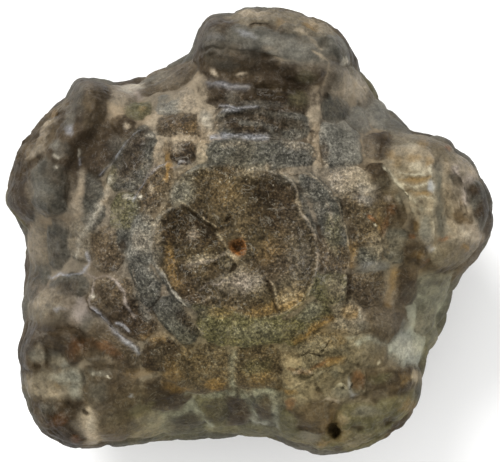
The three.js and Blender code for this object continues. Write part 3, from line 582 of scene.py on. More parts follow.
# Stains and films, with painted shade and painted highlights among them: place, half length, half width, tilt
# in degrees, stone, strength. Later ones lie over earlier ones.
STAINS = (
    # The facet.
    (-2, 2.7, 2.8, 2, 0, "brown", 0.7), (-2, 2.9, 1.3, 0.8, 0, "ochre", 0.12),
    (-1.8, 4.7, 1.1, 0.6, 0, "umber", 0.6), (0.3, 4.6, 1.5, 0.5, 0, "clay", 0.45),
    (-3.8, 3.3, 0.9, 0.7, 20, "brown", 0.7), (-0.4, 0.3, 2, 1, 20, "brown", 0.5),
    (1.7, 2.4, 1.9, 1.9, 0, "umber", 1), (1.6, 2.3, 1.4, 1.4, 0, "bister", 0.5),
    (3, 2, 1, 1.4, 0, "umber", 0.9), (3.2, 0.4, 1.3, 1.1, 0, "umber", 0.5),
    (2, 0.6, 1.4, 0.8, 0, "umber", 0.5), (1.9, -2.4, 1.8, 1.8, 0, "brown", 0.9),
    (1.8, -2.6, 1.3, 1.4, 0, "umber", 0.45), (1.5, -1.6, 0.9, 0.9, 0, "ochre", 0.2),
    (4, -2, 0.9, 1.6, 0, "drab", 0.5), (3.4, -4.5, 1.3, 1.3, 30, "drab", 0.5),
    (3.1, -5.1, 1.6, 0.8, 40, "ochre", 0.32), (3.3, -4.9, 1.3, 0.6, 40, "clay", 0.4),
    (1.5, -6.1, 1.6, 0.5, 5, "ochre", 0.3), (-0.7, -4.1, 1.6, 1.2, 0, "clay", 0.75),
    (-0.4, -4.1, 1, 0.9, 0, "pink", 0.4), (0.4, -2.8, 0.6, 0.9, -20, "umber", 0.35),
    (-1, -5.6, 1.8, 0.5, 0, "brown", 0.6), (-2.4, -6.4, 1.2, 0.45, 0, "ochre", 0.3),
    (-3.8, -6.5, 0.6, 0.5, 0, "slate", 0.6), (-5, 0.3, 1.9, 1.8, -20, "umber", 1),
    (-6.2, 0.2, 0.7, 1.2, 0, "umber", 1), (-3.2, -0.5, 1.3, 1.3, 0, "umber", 1),
    (-6.1, 0.4, 0.8, 1.1, 0, "bister", 0.6), (-3, -0.5, 0.9, 0.9, 0, "bister", 0.75),
    (-4.5, -0.3, 0.35, 0.6, -20, "pink", 0.3), (-3.9, -2.2, 1.1, 0.35, 12, "clay", 0.6),
    (-5, -3.4, 1.1, 1.3, 0, "umber", 0.6), (-3, -3.1, 0.9, 0.7, 0, "umber", 0.6),
    (-2.1, -2.6, 0.5, 0.4, 0, "umber", 0.2), (-6.25, -2.2, 0.4, 1.3, 5, "ochre", 0.55),
    (-5.8, -4, 0.5, 0.8, 20, "ochre", 0.45), (-5.1, -4.9, 0.9, 0.7, -30, "umber", 0.8),
    (-5.1, -4.8, 0.8, 0.6, 0, "bister", 0.3), (-5.1, -4.8, 0.7, 0.6, 0, "ochre", 0.16),
    (-4.4, -5.3, 1, 0.5, -20, "umber", 0.7), (-7.4, -0.2, 0.35, 1.3, 0, "tan", 0.35),
    (-5.4, 3, 1, 0.8, 20, "grey", 0.7), (-4.9, 4.2, 1.1, 0.6, 30, "slate", 0.5),
    (-0.9, -1.2, 0.55, 0.62, 0, "rust", 1), (-1.3, -1.85, 0.55, 0.2, -15, "tan", 0.7),
    (-1, -1, 0.4, 0.35, 0, "umber", 0.5), (-1.6, 1, 0.32, 0.22, 10, "umber", 0.8),
    # The circlet.
    (-1.4, 6.7, 1, 0.3, 0, "clay", 0.4), (3.6, 6.6, 0.9, 0.35, -10, "clay", 0.5),
    (3.2, 5.3, 1.2, 0.35, 0, "grey", 0.4), (6.6, -4.5, 1, 1, 0, "olive", 0.5),
    (5, -7.6, 1.8, 0.7, 30, "brown", 0.5), (4.9, -6.2, 1.1, 0.5, 35, "grey", 0.6),
    (6.7, -5, 0.8, 0.9, 0, "drab", 0.5), (0.5, -7.9, 2.6, 0.6, 0, "grey", 0.4),
    (-6.1, -6.9, 0.7, 1.4, 40, "grey", 0.3), (-4.9, -7, 0.5, 1.2, 35, "umber", 0.8),
    (-8.5, -0.9, 0.7, 1.1, 0, "tan", 0.35), (-8.4, -1.9, 0.4, 0.5, 0, "slate", 0.7),
    (-8.7, -3.6, 0.5, 1.2, -20, "grey", 0.5), (-7.8, 1.8, 0.5, 1.2, 0, "umber", 0.7),
    (-7.75, 3.3, 0.2, 0.4, -20, "tan", 0.8), (6.4, -0.4, 0.5, 1.2, 0, "clay", 0.3),
    (6, 3.4, 1.1, 0.6, -50, "grey", 0.4),
    # The lobe towards +Y. The grey bands along the brow's top are painted highlight, and the brown and umber
    # ovals on the walls under the cheeks are painted shade.
    (1.5, 14.2, 4.5, 1.6, -10, "grey", 0.15), (-1.6, 13.4, 2.2, 0.9, 0, "brown", 0.7),
    (-2.6, 14.6, 1.5, 1, 0, "slate", 0.7), (-2, 13.2, 1.2, 0.5, 0, "grey", 0.4),
    (2.6, 12.1, 2.3, 0.7, -22, "umber", 0.9), (1.15, 13.6, 0.3, 0.9, 0, "umber", 0.8),
    (-2.8, 16, 1.4, 1.2, 0, "umber", 0.5), (-3.3, 16.6, 1.1, 1.2, 0, "umber", 0.6),
    (-2.7, 15.2, 0.8, 0.3, 0, "lilac_sheen", 0.12), (-0.8, 14.4, 1.4, 0.7, 0, "umber", 0.5),
    (0.5, 14.7, 1.2, 0.4, -8, "grey", 0.5), (3.6, 13.9, 1.7, 0.7, -20, "grey", 0.7),
    (4.6, 12.9, 0.9, 0.5, -20, "brown", 0.5), (2.2, 15, 2.6, 0.45, -14, "grey", 0.8),
    (-0.2, 15.6, 0.8, 0.3, -25, "lilac_sheen", 0.3), (1.6, 14.4, 0.5, 0.25, 0, "clay", 0.6),
    (0.8, 17.2, 1.8, 0.5, -4, "clay", 0.6), (4.8, 16.3, 0.6, 0.4, 0, "ochre", 0.6),
    (5.4, 16.4, 1.4, 0.4, -20, "tan", 0.5), (0, 17.3, 1, 0.35, 0, "tan", 0.5),
    # The pale spot at the lobe's right end is a painted highlight.
    (2.6, 16.5, 0.5, 0.4, 0, "ochre", 0.4), (7.55, 13.55, 0.28, 0.35, -30, "pale", 1),
    (6.6, 13.4, 0.5, 0.4, 0, "clay", 0.6), (8, 12.9, 0.35, 1, 10, "grey", 0.6),
    (8.2, 11.5, 0.8, 1, 0, "pale", 0.65), (6.9, 12.1, 0.5, 1.2, -10, "slate", 0.5),
    (-2.8, 12.45, 0.45, 0.22, -40, "tan", 1), (-0.7, 12.45, 0.4, 0.16, 10, "tan", 1),
    (-1.9, 11.5, 1.2, 0.35, -8, "lilac_sheen", 0.25), (1.6, 11, 2.8, 0.8, -5, "umber", 1),
    (1.2, 11.1, 2.4, 0.6, -5, "bister", 0.7), (0.6, 8.3, 2.8, 0.7, 0, "umber", 0.8),
    (0.5, 8.3, 2.4, 0.5, 0, "bister", 0.6), (0.4, 10, 2.4, 0.35, 0, "grey", 0.35),
    (3.9, 10.3, 0.9, 0.6, 0, "olive", 0.6), (0.6, 9.3, 1.6, 0.3, 0, "brown", 0.3),
    (-1.6, 9.6, 1, 0.3, 0, "lilac_sheen", 0.3), (3, 8.4, 1.4, 0.5, -10, "brown", 0.5),
    (-1.6, 8.4, 0.8, 0.4, 0, "umber", 0.5), (4.6, 12.1, 0.8, 0.6, 0, "olive", 0.5),
    # Between the +Y and the +X lobes.
    (5.9, 6.2, 0.4, 0.8, 15, "umber", 0.8), (7, 5.3, 1.4, 0.5, 0, "slate", 0.6),
    (7, 9.6, 0.9, 0.7, 0, "drab", 0.3), (8.1, 11.3, 1.2, 1.1, 0, "tan", 0.7),
    (10.3, 6.8, 0.6, 0.7, 0, "umber", 0.8), (10, 5, 1, 0.45, 0, "umber", 0.7),
    (10.5, 3.8, 0.6, 0.5, 0, "drab", 0.5), (9.3, 3.4, 0.5, 0.4, 0, "tan", 0.5),
    (11.3, 8.8, 1, 0.6, -35, "slate", 0.5), (9.3, 6.6, 0.8, 1, 0, "clay", 0.3),
    (7.3, 6.8, 1.2, 1.2, 0, "slate", 0.45),
    # Between the +Y and the -X lobes.
    (-9.1, 6, 0.9, 2, -28, "umber", 0.8), (-8.3, 7.4, 0.9, 0.6, 0, "umber", 0.5),
    (-11.8, 6.6, 1, 1.8, -28, "umber", 0.6), (-4.7, 8.1, 0.7, 0.35, 10, "ochre", 0.4),
    (-5.5, 8.3, 1.3, 0.7, 0, "umber", 0.8), (-8.5, 9.6, 0.35, 0.25, 0, "ochre", 0.35),
    (-9.7, 8.4, 0.25, 0.2, 0, "tan", 0.9), (-5.1, 6.2, 0.7, 0.6, 0, "umber", 0.4),
    (-7.6, 12, 1.6, 0.5, 12, "grey", 0.6), (-5.2, 12.6, 0.7, 0.8, 0, "umber", 0.3),
    (-9.4, 11.4, 1, 0.35, 10, "pale", 0.6), (-7.6, 7.6, 0.5, 0.3, 30, "pale", 0.4),
    # The lobe towards -X and +Y. The brown and umber ovals on the knuckles' right sides are partly painted
    # shade.
    (-12.1, 9.6, 0.9, 2.2, -8, "brown", 0.7), (-12.5, 10.6, 0.4, 1, 0, "brown", 0.6),
    (-13.3, 7, 0.8, 1.2, -45, "umber", 0.9), (-13.8, 5, 0.7, 1.6, 0, "umber", 1),
    (-11.8, 5.3, 0.8, 1, 0, "umber", 0.6), (-13.7, 10.8, 0.6, 1.6, 0, "slate", 0.5),
    (-13.5, 12.5, 1, 0.7, 0, "umber", 0.7), (-14.2, 8, 0.35, 0.4, 0, "lilac_sheen", 0.5),
    (-14.3, 8.8, 0.4, 1, -10, "grey", 0.5), (-14.9, 10, 0.6, 0.7, 40, "drab", 0.5),
    (-15.8, 8.6, 0.6, 0.35, 45, "tan", 0.7), (-16.4, 7.5, 0.6, 0.5, 45, "clay", 0.6),
    (-16.9, 6.3, 0.8, 0.45, 30, "clay", 0.8), (-15.3, 6.9, 0.5, 0.5, 0, "grey", 0.6),
    (-17.4, 7.5, 0.9, 0.4, 55, "umber", 0.8), (-17, 5.4, 0.8, 0.35, 30, "umber", 0.7),
    (-18.2, 6, 0.35, 0.8, -20, "umber", 0.8), (-17.8, 4.2, 0.8, 0.8, 0, "umber", 0.7),
    (-18.3, 4.7, 0.7, 1, 0, "bister", 0.8), (-18.1, 4.6, 0.35, 0.5, 0, "ochre", 0.15),
    (-16.3, 3.2, 0.7, 0.8, 0, "grey", 0.6), (-16.1, 4.9, 0.5, 0.9, 0, "slate", 0.4),
    (-15.2, 2.5, 0.7, 0.9, 0, "slate", 0.7), (-15.4, 4.6, 0.8, 1.2, 0, "umber", 0.5),
    (-12.5, 3.4, 0.35, 0.9, 0, "slate", 1), (-18.5, 2.8, 0.7, 0.9, 0, "umber", 0.8),
    (-18.7, 2.8, 0.6, 0.9, 0, "bister", 0.5), (-17.4, 3, 0.3, 0.9, 0, "clay", 0.6),
    (-17.1, 0.7, 1, 0.35, -25, "slate", 0.6), (-15.1, 9.2, 0.5, 0.25, 35, "umber", 0.9),
    (-15.6, 9.3, 0.3, 0.3, 0, "ochre", 0.5),
    # Between the two -X lobes.
    (-12.3, 3.5, 0.5, 1.1, -10, "bister", 0.8), (-11, 4, 0.5, 1.2, 0, "olive", 0.5),
    (-9.7, 2.7, 0.3, 0.2, 0, "pale", 0.5), (-8.6, 2.6, 0.2, 0.2, 0, "pale", 0.8),
    (-10.8, 2.3, 0.6, 0.4, 0, "olive", 0.4), (-11.3, -2.2, 1.2, 1.3, 0, "umber", 0.5),
    (-11.3, -4.8, 1.2, 0.8, -10, "umber", 0.5), (-13.5, -1.2, 0.5, 1, 0, "tan", 0.4),
    (-9.9, -1.2, 0.3, 0.4, 0, "umber", 0.8), (-15.3, -1.1, 0.6, 1.4, 0, "umber", 0.4),
    (-14.4, -4.6, 1.1, 0.6, 0, "umber", 0.6), (-17.1, -4.3, 0.7, 1.1, -15, "umber", 0.5),
    (-17, -1, 0.8, 1.3, 0, "tan", 0.4), (-15, -6.2, 0.5, 0.15, 10, "lilac_sheen", 0.45),
    (-15.6, -6.6, 0.5, 0.25, 20, "umber", 0.6), (-14.2, -5.8, 0.4, 0.3, 0, "brown", 0.6),
    (-16.6, -5.9, 0.5, 0.4, 0, "tan", 0.5), (-16.9, -6.6, 0.9, 0.5, 20, "drab", 0.8),
    (-15.1, -5.4, 0.6, 0.3, 0, "umber", 0.7), (-14.6, -6.4, 0.5, 0.3, -20, "umber", 0.7),
    (-15.9, -5.9, 0.35, 0.25, 0, "slate", 0.8), (-13.2, -5.5, 0.35, 0.3, 0, "umber", 0.7),
    (-12.4, -6, 0.7, 0.6, 0, "brown", 0.5), (-8.6, -2.3, 0.4, 0.6, 0, "slate", 0.7),
    (-12.4, -5.1, 0.25, 0.25, 0, "pale", 0.6), (-12.8, -7, 0.6, 0.6, 0, "slate", 0.9),
    (-13.6, -6, 0.6, 0.4, -10, "brown", 0.5),
    # The lobe towards -X and -Y.
    (-17.9, -9.7, 0.9, 1.7, 0, "umber", 1), (-16.6, -8.2, 1.5, 0.6, 25, "umber", 0.9),
    (-14.5, -7.9, 1.6, 0.8, -25, "umber", 1), (-15.4, -7.6, 1.6, 0.35, 5, "bister", 0.5),
    (-13.7, -9.2, 0.9, 1.1, -30, "umber", 0.7), (-13.6, -9.4, 0.8, 1, -30, "rust", 0.2),
    (-12.3, -8.8, 1.3, 0.7, -30, "umber", 0.5), (-11.2, -9.5, 1.2, 0.8, -20, "umber", 0.5),
    (-11.4, -9.3, 1.3, 0.5, -20, "rust", 0.3), (-13.2, -9.2, 0.8, 0.6, -40, "rust", 0.25),
    (-13, -10, 0.6, 0.8, -20, "brown", 0.6), (-11.4, -10.2, 0.8, 0.3, -10, "clay", 0.4),
    (-10, -10.4, 0.9, 0.4, -20, "umber", 0.6), (-16.6, -9.9, 0.38, 0.8, 10, "clay", 0.7),
    (-16.6, -9.4, 0.3, 0.4, 0, "tan", 0.4), (-18.2, -9.7, 0.7, 1.8, 0, "bister", 0.9),
    (-16.05, -10.3, 0.2, 0.8, 5, "umber", 0.6), (-15.4, -10.2, 0.6, 0.8, 30, "grey", 0.7),
    (-14.8, -10.5, 0.3, 0.6, 40, "silt", 0.45), (-16.7, -10.8, 0.18, 0.2, 0, "umber", 1),
    (-14.4, -11.6, 1.3, 0.5, 0, "silt", 0.4), (-13.8, -12.5, 0.6, 0.9, 0, "silt", 0.45),
    (-16.5, -12.4, 1.2, 0.7, 0, "clay", 0.7), (-14.9, -12.8, 0.8, 0.4, 0, "clay", 0.6),
    (-15.6, -12.7, 0.35, 0.25, 0, "tan", 0.6), (-15.2, -12.2, 0.3, 0.2, 0, "ochre", 0.3),
    # The three small pale spots are painted glints.
    (-12.2, -12.8, 0.8, 1, 0, "slate", 0.6), (-12.35, -11.35, 0.1, 0.08, 0, "pale", 1),
    (-11.4, -11.6, 0.1, 0.12, 0, "pale", 1), (-11.9, -11.2, 0.09, 0.09, 0, "pale", 0.8),
    (-11.8, -11.3, 0.8, 0.25, -5, "grey", 0.6), (-9.4, -12.9, 0.18, 0.12, 20, "lilac_sheen", 0.6),
    (-10.6, -12.2, 0.7, 0.5, 0, "umber", 0.5), (-16.2, -14.1, 1, 0.8, 0, "umber", 0.8),
    (-16.2, -14, 0.8, 0.35, 20, "slate", 0.5), (-15, -14.9, 1, 0.7, 15, "umber", 0.9),
    (-15.1, -15, 1.1, 0.8, 15, "bister", 0.5), (-15, -14.9, 0.8, 0.5, 15, "rust", 0.3),
    (-14.3, -14.7, 0.6, 0.5, 0, "umber", 0.8), (-15.7, -15.5, 0.7, 0.6, -20, "umber", 0.9),
    (-14.2, -16.7, 1.5, 1, -15, "umber", 1), (-14.3, -17, 1.3, 0.8, -15, "bister", 0.7),
    (-13.4, -16.8, 0.6, 0.35, -15, "ochre", 0.25), (-13, -15.5, 0.6, 1.1, 6, "clay", 0.7),
    (-12.5, -15.4, 0.5, 1.3, 4, "tan", 1), (-12.4, -15.2, 0.35, 0.8, 4, "pale", 0.3),
    (-13.5, -15.5, 0.5, 0.5, 0, "clay", 0.6), (-12.85, -14.3, 0.4, 0.18, -50, "umber", 0.8),
    (-9.2, -6.3, 0.9, 0.8, 0, "umber", 0.35), (-8.1, -6.4, 0.35, 0.9, 25, "grey", 0.6),
    (-8.7, -11.3, 1.3, 0.35, -5, "ochre", 0.5), (-6.7, -13.3, 1.4, 0.9, 0, "umber", 0.9),
    (-6.8, -13.3, 1, 0.7, 0, "bister", 0.4), (1.2, -14.1, 0.8, 0.9, 0, "umber", 0.75),
    (-2.7, -14.3, 0.9, 1.2, 10, "umber", 0.5), (-8.6, -14.2, 0.9, 0.5, 15, "olive", 0.6),
    (-7.6, -8.4, 1.2, 0.3, 0, "ochre", 0.4), (-11.8, -7.9, 0.9, 0.4, -35, "brown", 0.6),
    (-11, -6.3, 1, 0.6, -35, "umber", 0.25),
    # The wide field towards -Y.
    (-6, -11, 0.8, 1, 0, "ochre", 0.3), (-4.6, -10.3, 1.6, 0.7, 0, "brown", 0.4),
    (5.2, -7.8, 1.4, 0.6, 30, "ochre", 0.5), (-2.7, -12.1, 0.7, 0.5, 0, "ochre", 0.6),
    (-5.8, -12.4, 1, 0.4, -10, "ochre", 0.5), (0.6, -10.6, 1.2, 0.6, 0, "olive", 0.5),
    (-0.7, -14.1, 0.4, 1.1, 20, "umber", 0.8), (-5.1, -15.1, 1.1, 0.8, 0, "umber", 0.5),
    (2.4, -11, 0.4, 0.35, 0, "umber", 0.8), (0.9, -11.6, 0.9, 0.6, 0, "ochre", 0.25),
    # The worn lobe towards +X and -Y.
    (8, -12, 4.2, 3, 0, "brown", 0.2), (5.4, -9, 1.5, 0.7, 10, "clay", 0.6),
    (7, -8.4, 1, 0.6, 0, "ochre", 0.35), (3.3, -11.6, 0.7, 0.8, 0, "drab", 0.5),
    (4.2, -12.2, 1.1, 0.5, -10, "clay", 0.6), (3.1, -12.7, 0.7, 0.25, 0, "ochre", 0.6),
    (8.75, -11.8, 0.5, 0.8, -18, "rust", 0.8), (8.7, -11.6, 0.8, 0.9, 0, "umber", 0.5),
    (8.6, -12.3, 0.5, 0.5, 0, "brown", 0.6), (6.6, -10.4, 0.9, 0.35, 12, "ochre", 0.7),
    (3.2, -13.7, 0.4, 0.5, 0, "rust", 0.5), (5.7, -10.5, 0.6, 0.3, 20, "umber", 0.6),
    (6.9, -11.2, 0.35, 0.45, 30, "slate", 1), (6.4, -10.85, 0.3, 0.14, 0, "slate", 0.8),
    (5.5, -12.8, 0.35, 0.25, -30, "brown", 0.5), (7.5, -12.9, 0.9, 0.5, 0, "grey", 0.6),
    (8.3, -13.1, 0.5, 0.2, 20, "lilac_sheen", 0.6), (10, -10.2, 1.8, 0.7, 0, "clay", 0.5),
    (10.3, -10.2, 1.2, 0.9, 0, "drab", 0.8), (10.2, -10, 1.1, 0.7, 0, "umber", 0.2),
    # The tiny pale spot is a painted glint.
    (10.2, -10.45, 0.09, 0.2, -20, "pale", 1), (10.4, -11.6, 0.9, 0.5, 10, "olive", 0.6),
    (11.5, -12.3, 1.2, 0.8, 10, "umber", 0.6), (12.2, -11.6, 0.4, 0.4, 0, "ochre", 0.4),
    (13.15, -11.7, 0.35, 0.55, -10, "tan", 0.9), (10.7, -13.7, 1.1, 0.5, 10, "olive", 0.7),
    (9.3, -14.2, 1.1, 0.4, 10, "grey", 0.8), (12.7, -14, 0.7, 0.5, 0, "ochre", 0.45),
    (11.1, -15.2, 0.7, 0.35, 20, "umber", 0.7), (7.65, -14.9, 0.5, 0.28, -20, "tan", 0.5),
    (7.9, -15.6, 0.5, 0.8, 0, "olive", 0.6), (5.7, -16.8, 0.6, 0.4, 0, "ochre", 0.5),
    (4.8, -16.4, 0.9, 0.5, 0, "grey", 0.9), (8.6, -16.5, 1.2, 0.5, 20, "clay", 0.4),
    (6.85, -15.5, 1, 1.1, 12, "ochre", 0.4), (6.85, -15.5, 0.45, 0.65, 12, "umber", 0.6),
    (4.5, -15.7, 0.6, 0.25, 0, "umber", 0.8), (7.1, -17.2, 0.4, 0.3, 0, "umber", 0.7),
    (8.7, -15.5, 0.45, 0.3, 0, "umber", 0.6),
    # The lobe towards +X and its broken end.
    (12.3, 5, 1, 0.8, 0, "tan", 0.45), (12.8, 3.6, 1.6, 1.2, 0, "drab", 0.35),
    (12.6, 6.7, 0.8, 0.3, 0, "pale", 0.2), (12.9, 5.7, 0.7, 0.35, 0, "ochre", 0.4),
    (11.7, 5.5, 0.35, 0.5, 0, "ochre", 0.4), (12.2, 4.9, 0.4, 0.3, 0, "drab", 0.4),
    (13.1, 5.1, 0.4, 0.25, 20, "pale", 0.4), (14, -0.3, 0.5, 0.7, 0, "lilac_sheen", 0.2),
    (13.8, 6.9, 0.8, 0.4, 0, "drab", 0.5), (13.8, 6.9, 0.5, 0.3, 0, "ochre", 0.4),
    (14.2, 5.5, 0.4, 0.4, 0, "ochre", 0.45), (11.3, 6.1, 0.35, 0.4, 0, "ochre", 0.4),
    (13.6, 4.65, 0.45, 0.35, 0, "pale", 0.35), (14.45, 4.7, 0.25, 0.4, 0, "pale", 0.7),
    (14.3, 3.45, 0.3, 0.5, 0, "pale", 0.5), (14.35, 3.4, 0.28, 0.45, 0, "lilac_sheen", 1),
    (13.2, 4, 1, 0.3, 0, "ochre", 0.45), (13, 3.4, 0.8, 0.3, 0, "clay", 0.7),
    (13.5, 2.9, 0.7, 0.25, 0, "ochre", 0.45), (14.3, 1.9, 0.4, 0.7, 0, "tan", 0.6),
    (13, 2.3, 0.2, 0.16, 0, "pale", 0.8), (13.5, 1.7, 0.16, 0.2, 0, "pale", 0.7),
    (12.8, 1.5, 0.16, 0.16, 0, "pale", 0.7), (13.1, 1.8, 0.8, 0.8, 0, "drab", 0.6),
    (13.2, 1.9, 0.14, 0.11, 0, "umber", 0.9), (13.3, 1.3, 0.16, 0.12, 0, "umber", 0.8),
    (13.5, 2.2, 0.12, 0.1, 0, "umber", 0.8), (13.9, 0.2, 0.6, 0.9, 0, "grey", 0.9),
    (14.4, -1.4, 0.35, 0.22, 0, "lilac_sheen", 0.45), (11.2, 1.6, 0.4, 0.35, -20, "rust", 0.8),
    (11.2, 1.4, 0.8, 0.9, 0, "umber", 0.75), (10.6, 0.3, 0.3, 0.8, -10, "rust", 0.4),
    (9.5, 1, 0.5, 0.18, -25, "rust", 0.9), (12.8, -0.5, 0.25, 0.22, 0, "rust", 0.9),
    (15.5, -0.6, 0.45, 0.18, 0, "rust", 0.8), (15.75, 6.6, 0.28, 0.2, 0, "rust", 0.9),
    (13.9, -2.5, 0.3, 0.2, 0, "rust", 0.8), (17.2, -1.3, 0.4, 0.2, -30, "ochre", 0.7),
    (12.9, 0.3, 0.45, 0.9, 10, "umber", 0.9), (13, -1.8, 1.1, 0.9, 0, "umber", 0.9),
    (13.3, -2, 0.6, 0.3, 0, "ochre", 0.35), (15.3, 6.8, 0.9, 0.4, 0, "brown", 0.5),
    (15.6, 3.6, 0.5, 1.6, 0, "ochre", 0.3), (16.8, 1.5, 0.8, 0.8, 0, "ochre", 0.35),
    (16, 1.5, 0.25, 0.5, 5, "olive", 0.6), (16.9, 1, 0.7, 0.35, -10, "ochre", 0.45),
    (16.9, 1.1, 0.8, 0.5, -10, "brown", 0.6), (15.8, 4.1, 0.4, 0.6, -30, "grey", 0.6),
    (16.3, 4.9, 0.4, 0.4, 0, "pink", 0.8), (17.6, 4.3, 0.5, 0.5, 0, "pink", 0.6),
    (17.3, 1.6, 0.35, 0.45, 0, "tan", 0.8), (17.2, 2.7, 0.3, 0.4, 0, "clay", 0.6),
    (17.6, 4.8, 0.5, 0.4, 0, "tan", 0.5), (18.2, 2.4, 0.9, 1.4, 0, "slate", 0.9),
    (18.7, 2.2, 0.8, 1.4, 0, "bister", 0.5), (18.6, 1.6, 0.5, 0.8, 0, "umber", 0.8),
    (17.9, 3.3, 0.55, 0.5, 0, "umber", 1), (18.2, 1.4, 0.5, 0.4, 0, "umber", 0.8),
    (17.4, -0.4, 1.5, 0.5, 0, "tan", 0.6), (16.5, 0.1, 1.3, 0.35, -25, "pale", 0.3),
    (15.8, 1, 0.35, 1.5, 38, "tan", 0.9), (15.1, 3, 0.3, 2.4, 0, "slate", 0.6),
    (15.4, 0.6, 0.25, 1, -20, "grey", 0.6), (16.2, -1.9, 1.2, 0.6, 20, "brown", 0.25),
    (14.9, -3, 1.7, 0.5, -5, "umber", 0.7),
    # Between the +X lobe and the worn one.
    (8.5, 1.7, 1, 0.7, -20, "brown", 0.4), (8.2, -1.3, 0.3, 0.6, 0, "ochre", 0.6),
    (8.1, -0.2, 0.35, 0.5, 0, "umber", 0.7), (8, -6.4, 0.7, 0.5, 0, "ochre", 0.7),
    (7.9, -6.2, 0.4, 0.3, 0, "tan", 0.4), (8.7, -6.6, 0.12, 0.35, 0, "pale", 0.8),
    (9.4, -5, 1.1, 0.8, 0, "umber", 0.4), (7.8, -4.4, 0.3, 1.1, -5, "umber", 0.9),
    (9.4, -1.9, 0.5, 0.3, 0, "slate", 0.8), (9.3, -2.6, 0.8, 0.4, 0, "grey", 0.8),
    (12.6, -4.6, 0.8, 1, 0, "umber", 0.25), (15, -4, 0.7, 0.3, 20, "umber", 0.5),
    (14.1, -6.8, 0.6, 0.9, 0, "grey", 0.3), (12.4, -7.5, 0.3, 0.5, 0, "grey", 0.9),
    (10.8, -7, 1.1, 0.9, 0, "clay", 0.3), (8.9, -7.6, 0.5, 0.4, 0, "slate", 0.7),
    (12.6, -9.1, 1.3, 0.7, -10, "pale", 0.25), (10, -3.8, 0.8, 0.6, 0, "brown", 0.6),
    # Two painted glints.
    (9.85, 0.4, 0.12, 0.12, 0, "pale", 1), (10.7, 4.95, 0.14, 0.14, 0, "pale", 0.9),
    # Last, a little light or dark over whole fields.
    (3.6, 0.6, 1, 1.3, 0, "drab", 0.12), (6.6, 0, 0.6, 1.6, 0, "olive", 0.6),
    (-2.8, 15.4, 0.9, 0.6, 0, "grey", 0.35), (7, 14.8, 0.8, 0.8, 0, "grey", 0.4),
    (-3.2, 8.8, 0.6, 0.8, 0, "clay", 0.6), (-6.5, 12, 1.3, 0.7, 20, "clay", 0.35),
    (-18.1, 4.6, 0.6, 0.9, 0, "umber", 0.6), (-15.3, -1, 0.9, 0.7, 0, "grey", 0.4),
    (-15.8, -5.2, 1.1, 0.8, 0, "tan", 0.3), (-15.2, -10.3, 0.7, 0.5, 0, "drab", 0.8),
    (-11.2, -10.3, 0.7, 0.4, 0, "brown", 0.35), (-15.1, -15, 0.9, 0.9, 0, "bister", 0.8),
    (-15, -15.1, 0.7, 0.5, 0, "rust", 0.3), (-13.8, -16.7, 0.8, 0.5, 0, "bister", 0.9),
    (-13.7, -16.6, 0.4, 0.3, 0, "rust", 0.4), (-7, -9.8, 0.9, 0.8, 0, "drab", 0.15),
    (5, -7.7, 0.9, 0.5, 20, "brown", 0.3), (10.2, -12.9, 1, 0.5, 0, "drab", 0.4),
    (10.2, -10.2, 1.1, 0.8, 0, "brown", 0.3), (13.7, 6.9, 0.7, 0.4, 0, "brown", 0.3),
    (16, 3, 0.6, 1, 0, "tan", 0.55), (12.6, -4.6, 0.6, 0.6, 0, "drab", 0.3),
    (7.1, 5.3, 0.8, 0.7, 0, "grey", 0.35), (14.3, -2.5, 0.9, 0.6, 0, "brown", 0.25),
    (-12.7, -2.8, 1, 0.8, 0, "drab", 0.4), (-14.2, -6.1, 0.9, 0.6, 0, "drab", 0.3),
    (-7.9, 1.1, 0.6, 1, 0, "drab", 0.35), (0.4, -4, 0.7, 0.6, 0, "drab", 0.35),
    (3.8, -5.5, 0.9, 0.5, 30, "ochre", 0.3), (-8.8, -11.2, 0.8, 0.6, 0, "brown", 0.3),
    (-14.2, 3.5, 0.4, 1.2, 0, "drab", 0.5), (-11.2, 9.8, 0.6, 0.6, 0, "drab", 0.35),
    (-15.7, -12.2, 0.9, 0.6, 0, "drab", 0.3), (3.8, -11, 0.8, 0.6, 0, "drab", 0.35),
    (7.1, -11, 0.6, 0.5, 0, "drab", 0.35), (0.2, 14.3, 0.9, 0.6, 0, "grey", 0.35),
    (-14.8, 6.5, 0.6, 0.6, 0, "grey", 0.35), (-10.6, 6.8, 0.6, 0.8, 0, "grey", 0.3),
    (-5.8, 6.5, 0.7, 0.5, 0, "clay", 0.4), (3.2, 4.1, 1.2, 0.5, 0, "grey", 0.3),
    (-1.6, 10.6, 0.7, 0.5, 0, "grey", 0.35), (-7.3, -1.9, 0.5, 0.7, 0, "grey", 0.35),
    (-1.9, -2.5, 0.5, 0.4, 0, "drab", 0.4), (-10.9, -14.8, 0.9, 0.6, 0, "drab", 0.35),
    (-8.6, -5.4, 0.5, 0.4, 0, "drab", 0.2), (9.2, 2.9, 0.9, 0.8, 0, "lilac_sheen", 0.2),
    (10.2, 3, 0.35, 0.7, 0, "umber", 0.5), (10.9, 2.5, 0.35, 0.35, 0, "pink", 0.4),
    (11.9, 2.6, 0.5, 0.6, 0, "grey", 0.6), (10.2, 0.6, 0.3, 0.9, 0, "ochre", 0.35),
    (9.8, -0.9, 0.7, 0.9, 0, "clay", 0.4), (10.75, -1.3, 0.16, 0.8, 5, "brown", 0.7),
    (11.5, -1.3, 0.6, 1, 0, "drab", 0.5), (13.2, 0.3, 0.3, 0.6, 0, "ochre", 0.3),
    (9.7, -2.8, 1.1, 0.4, -5, "lilac_sheen", 0.25), (11.2, -4.3, 0.5, 1.4, 0, "tan", 0.45),
    (6.8, -4.4, 0.8, 0.9, 0, "tan", 0.3), (8.1, -1, 0.16, 1, 12, "umber", 0.6),
    (9, 8.5, 0.7, 0.6, 0, "clay", 0.25), (-16.8, -9.9, 0.5, 0.5, 0, "silt", 0.25),
    (-12.3, 3.4, 0.5, 0.8, 0, "grey", 0.3),
)

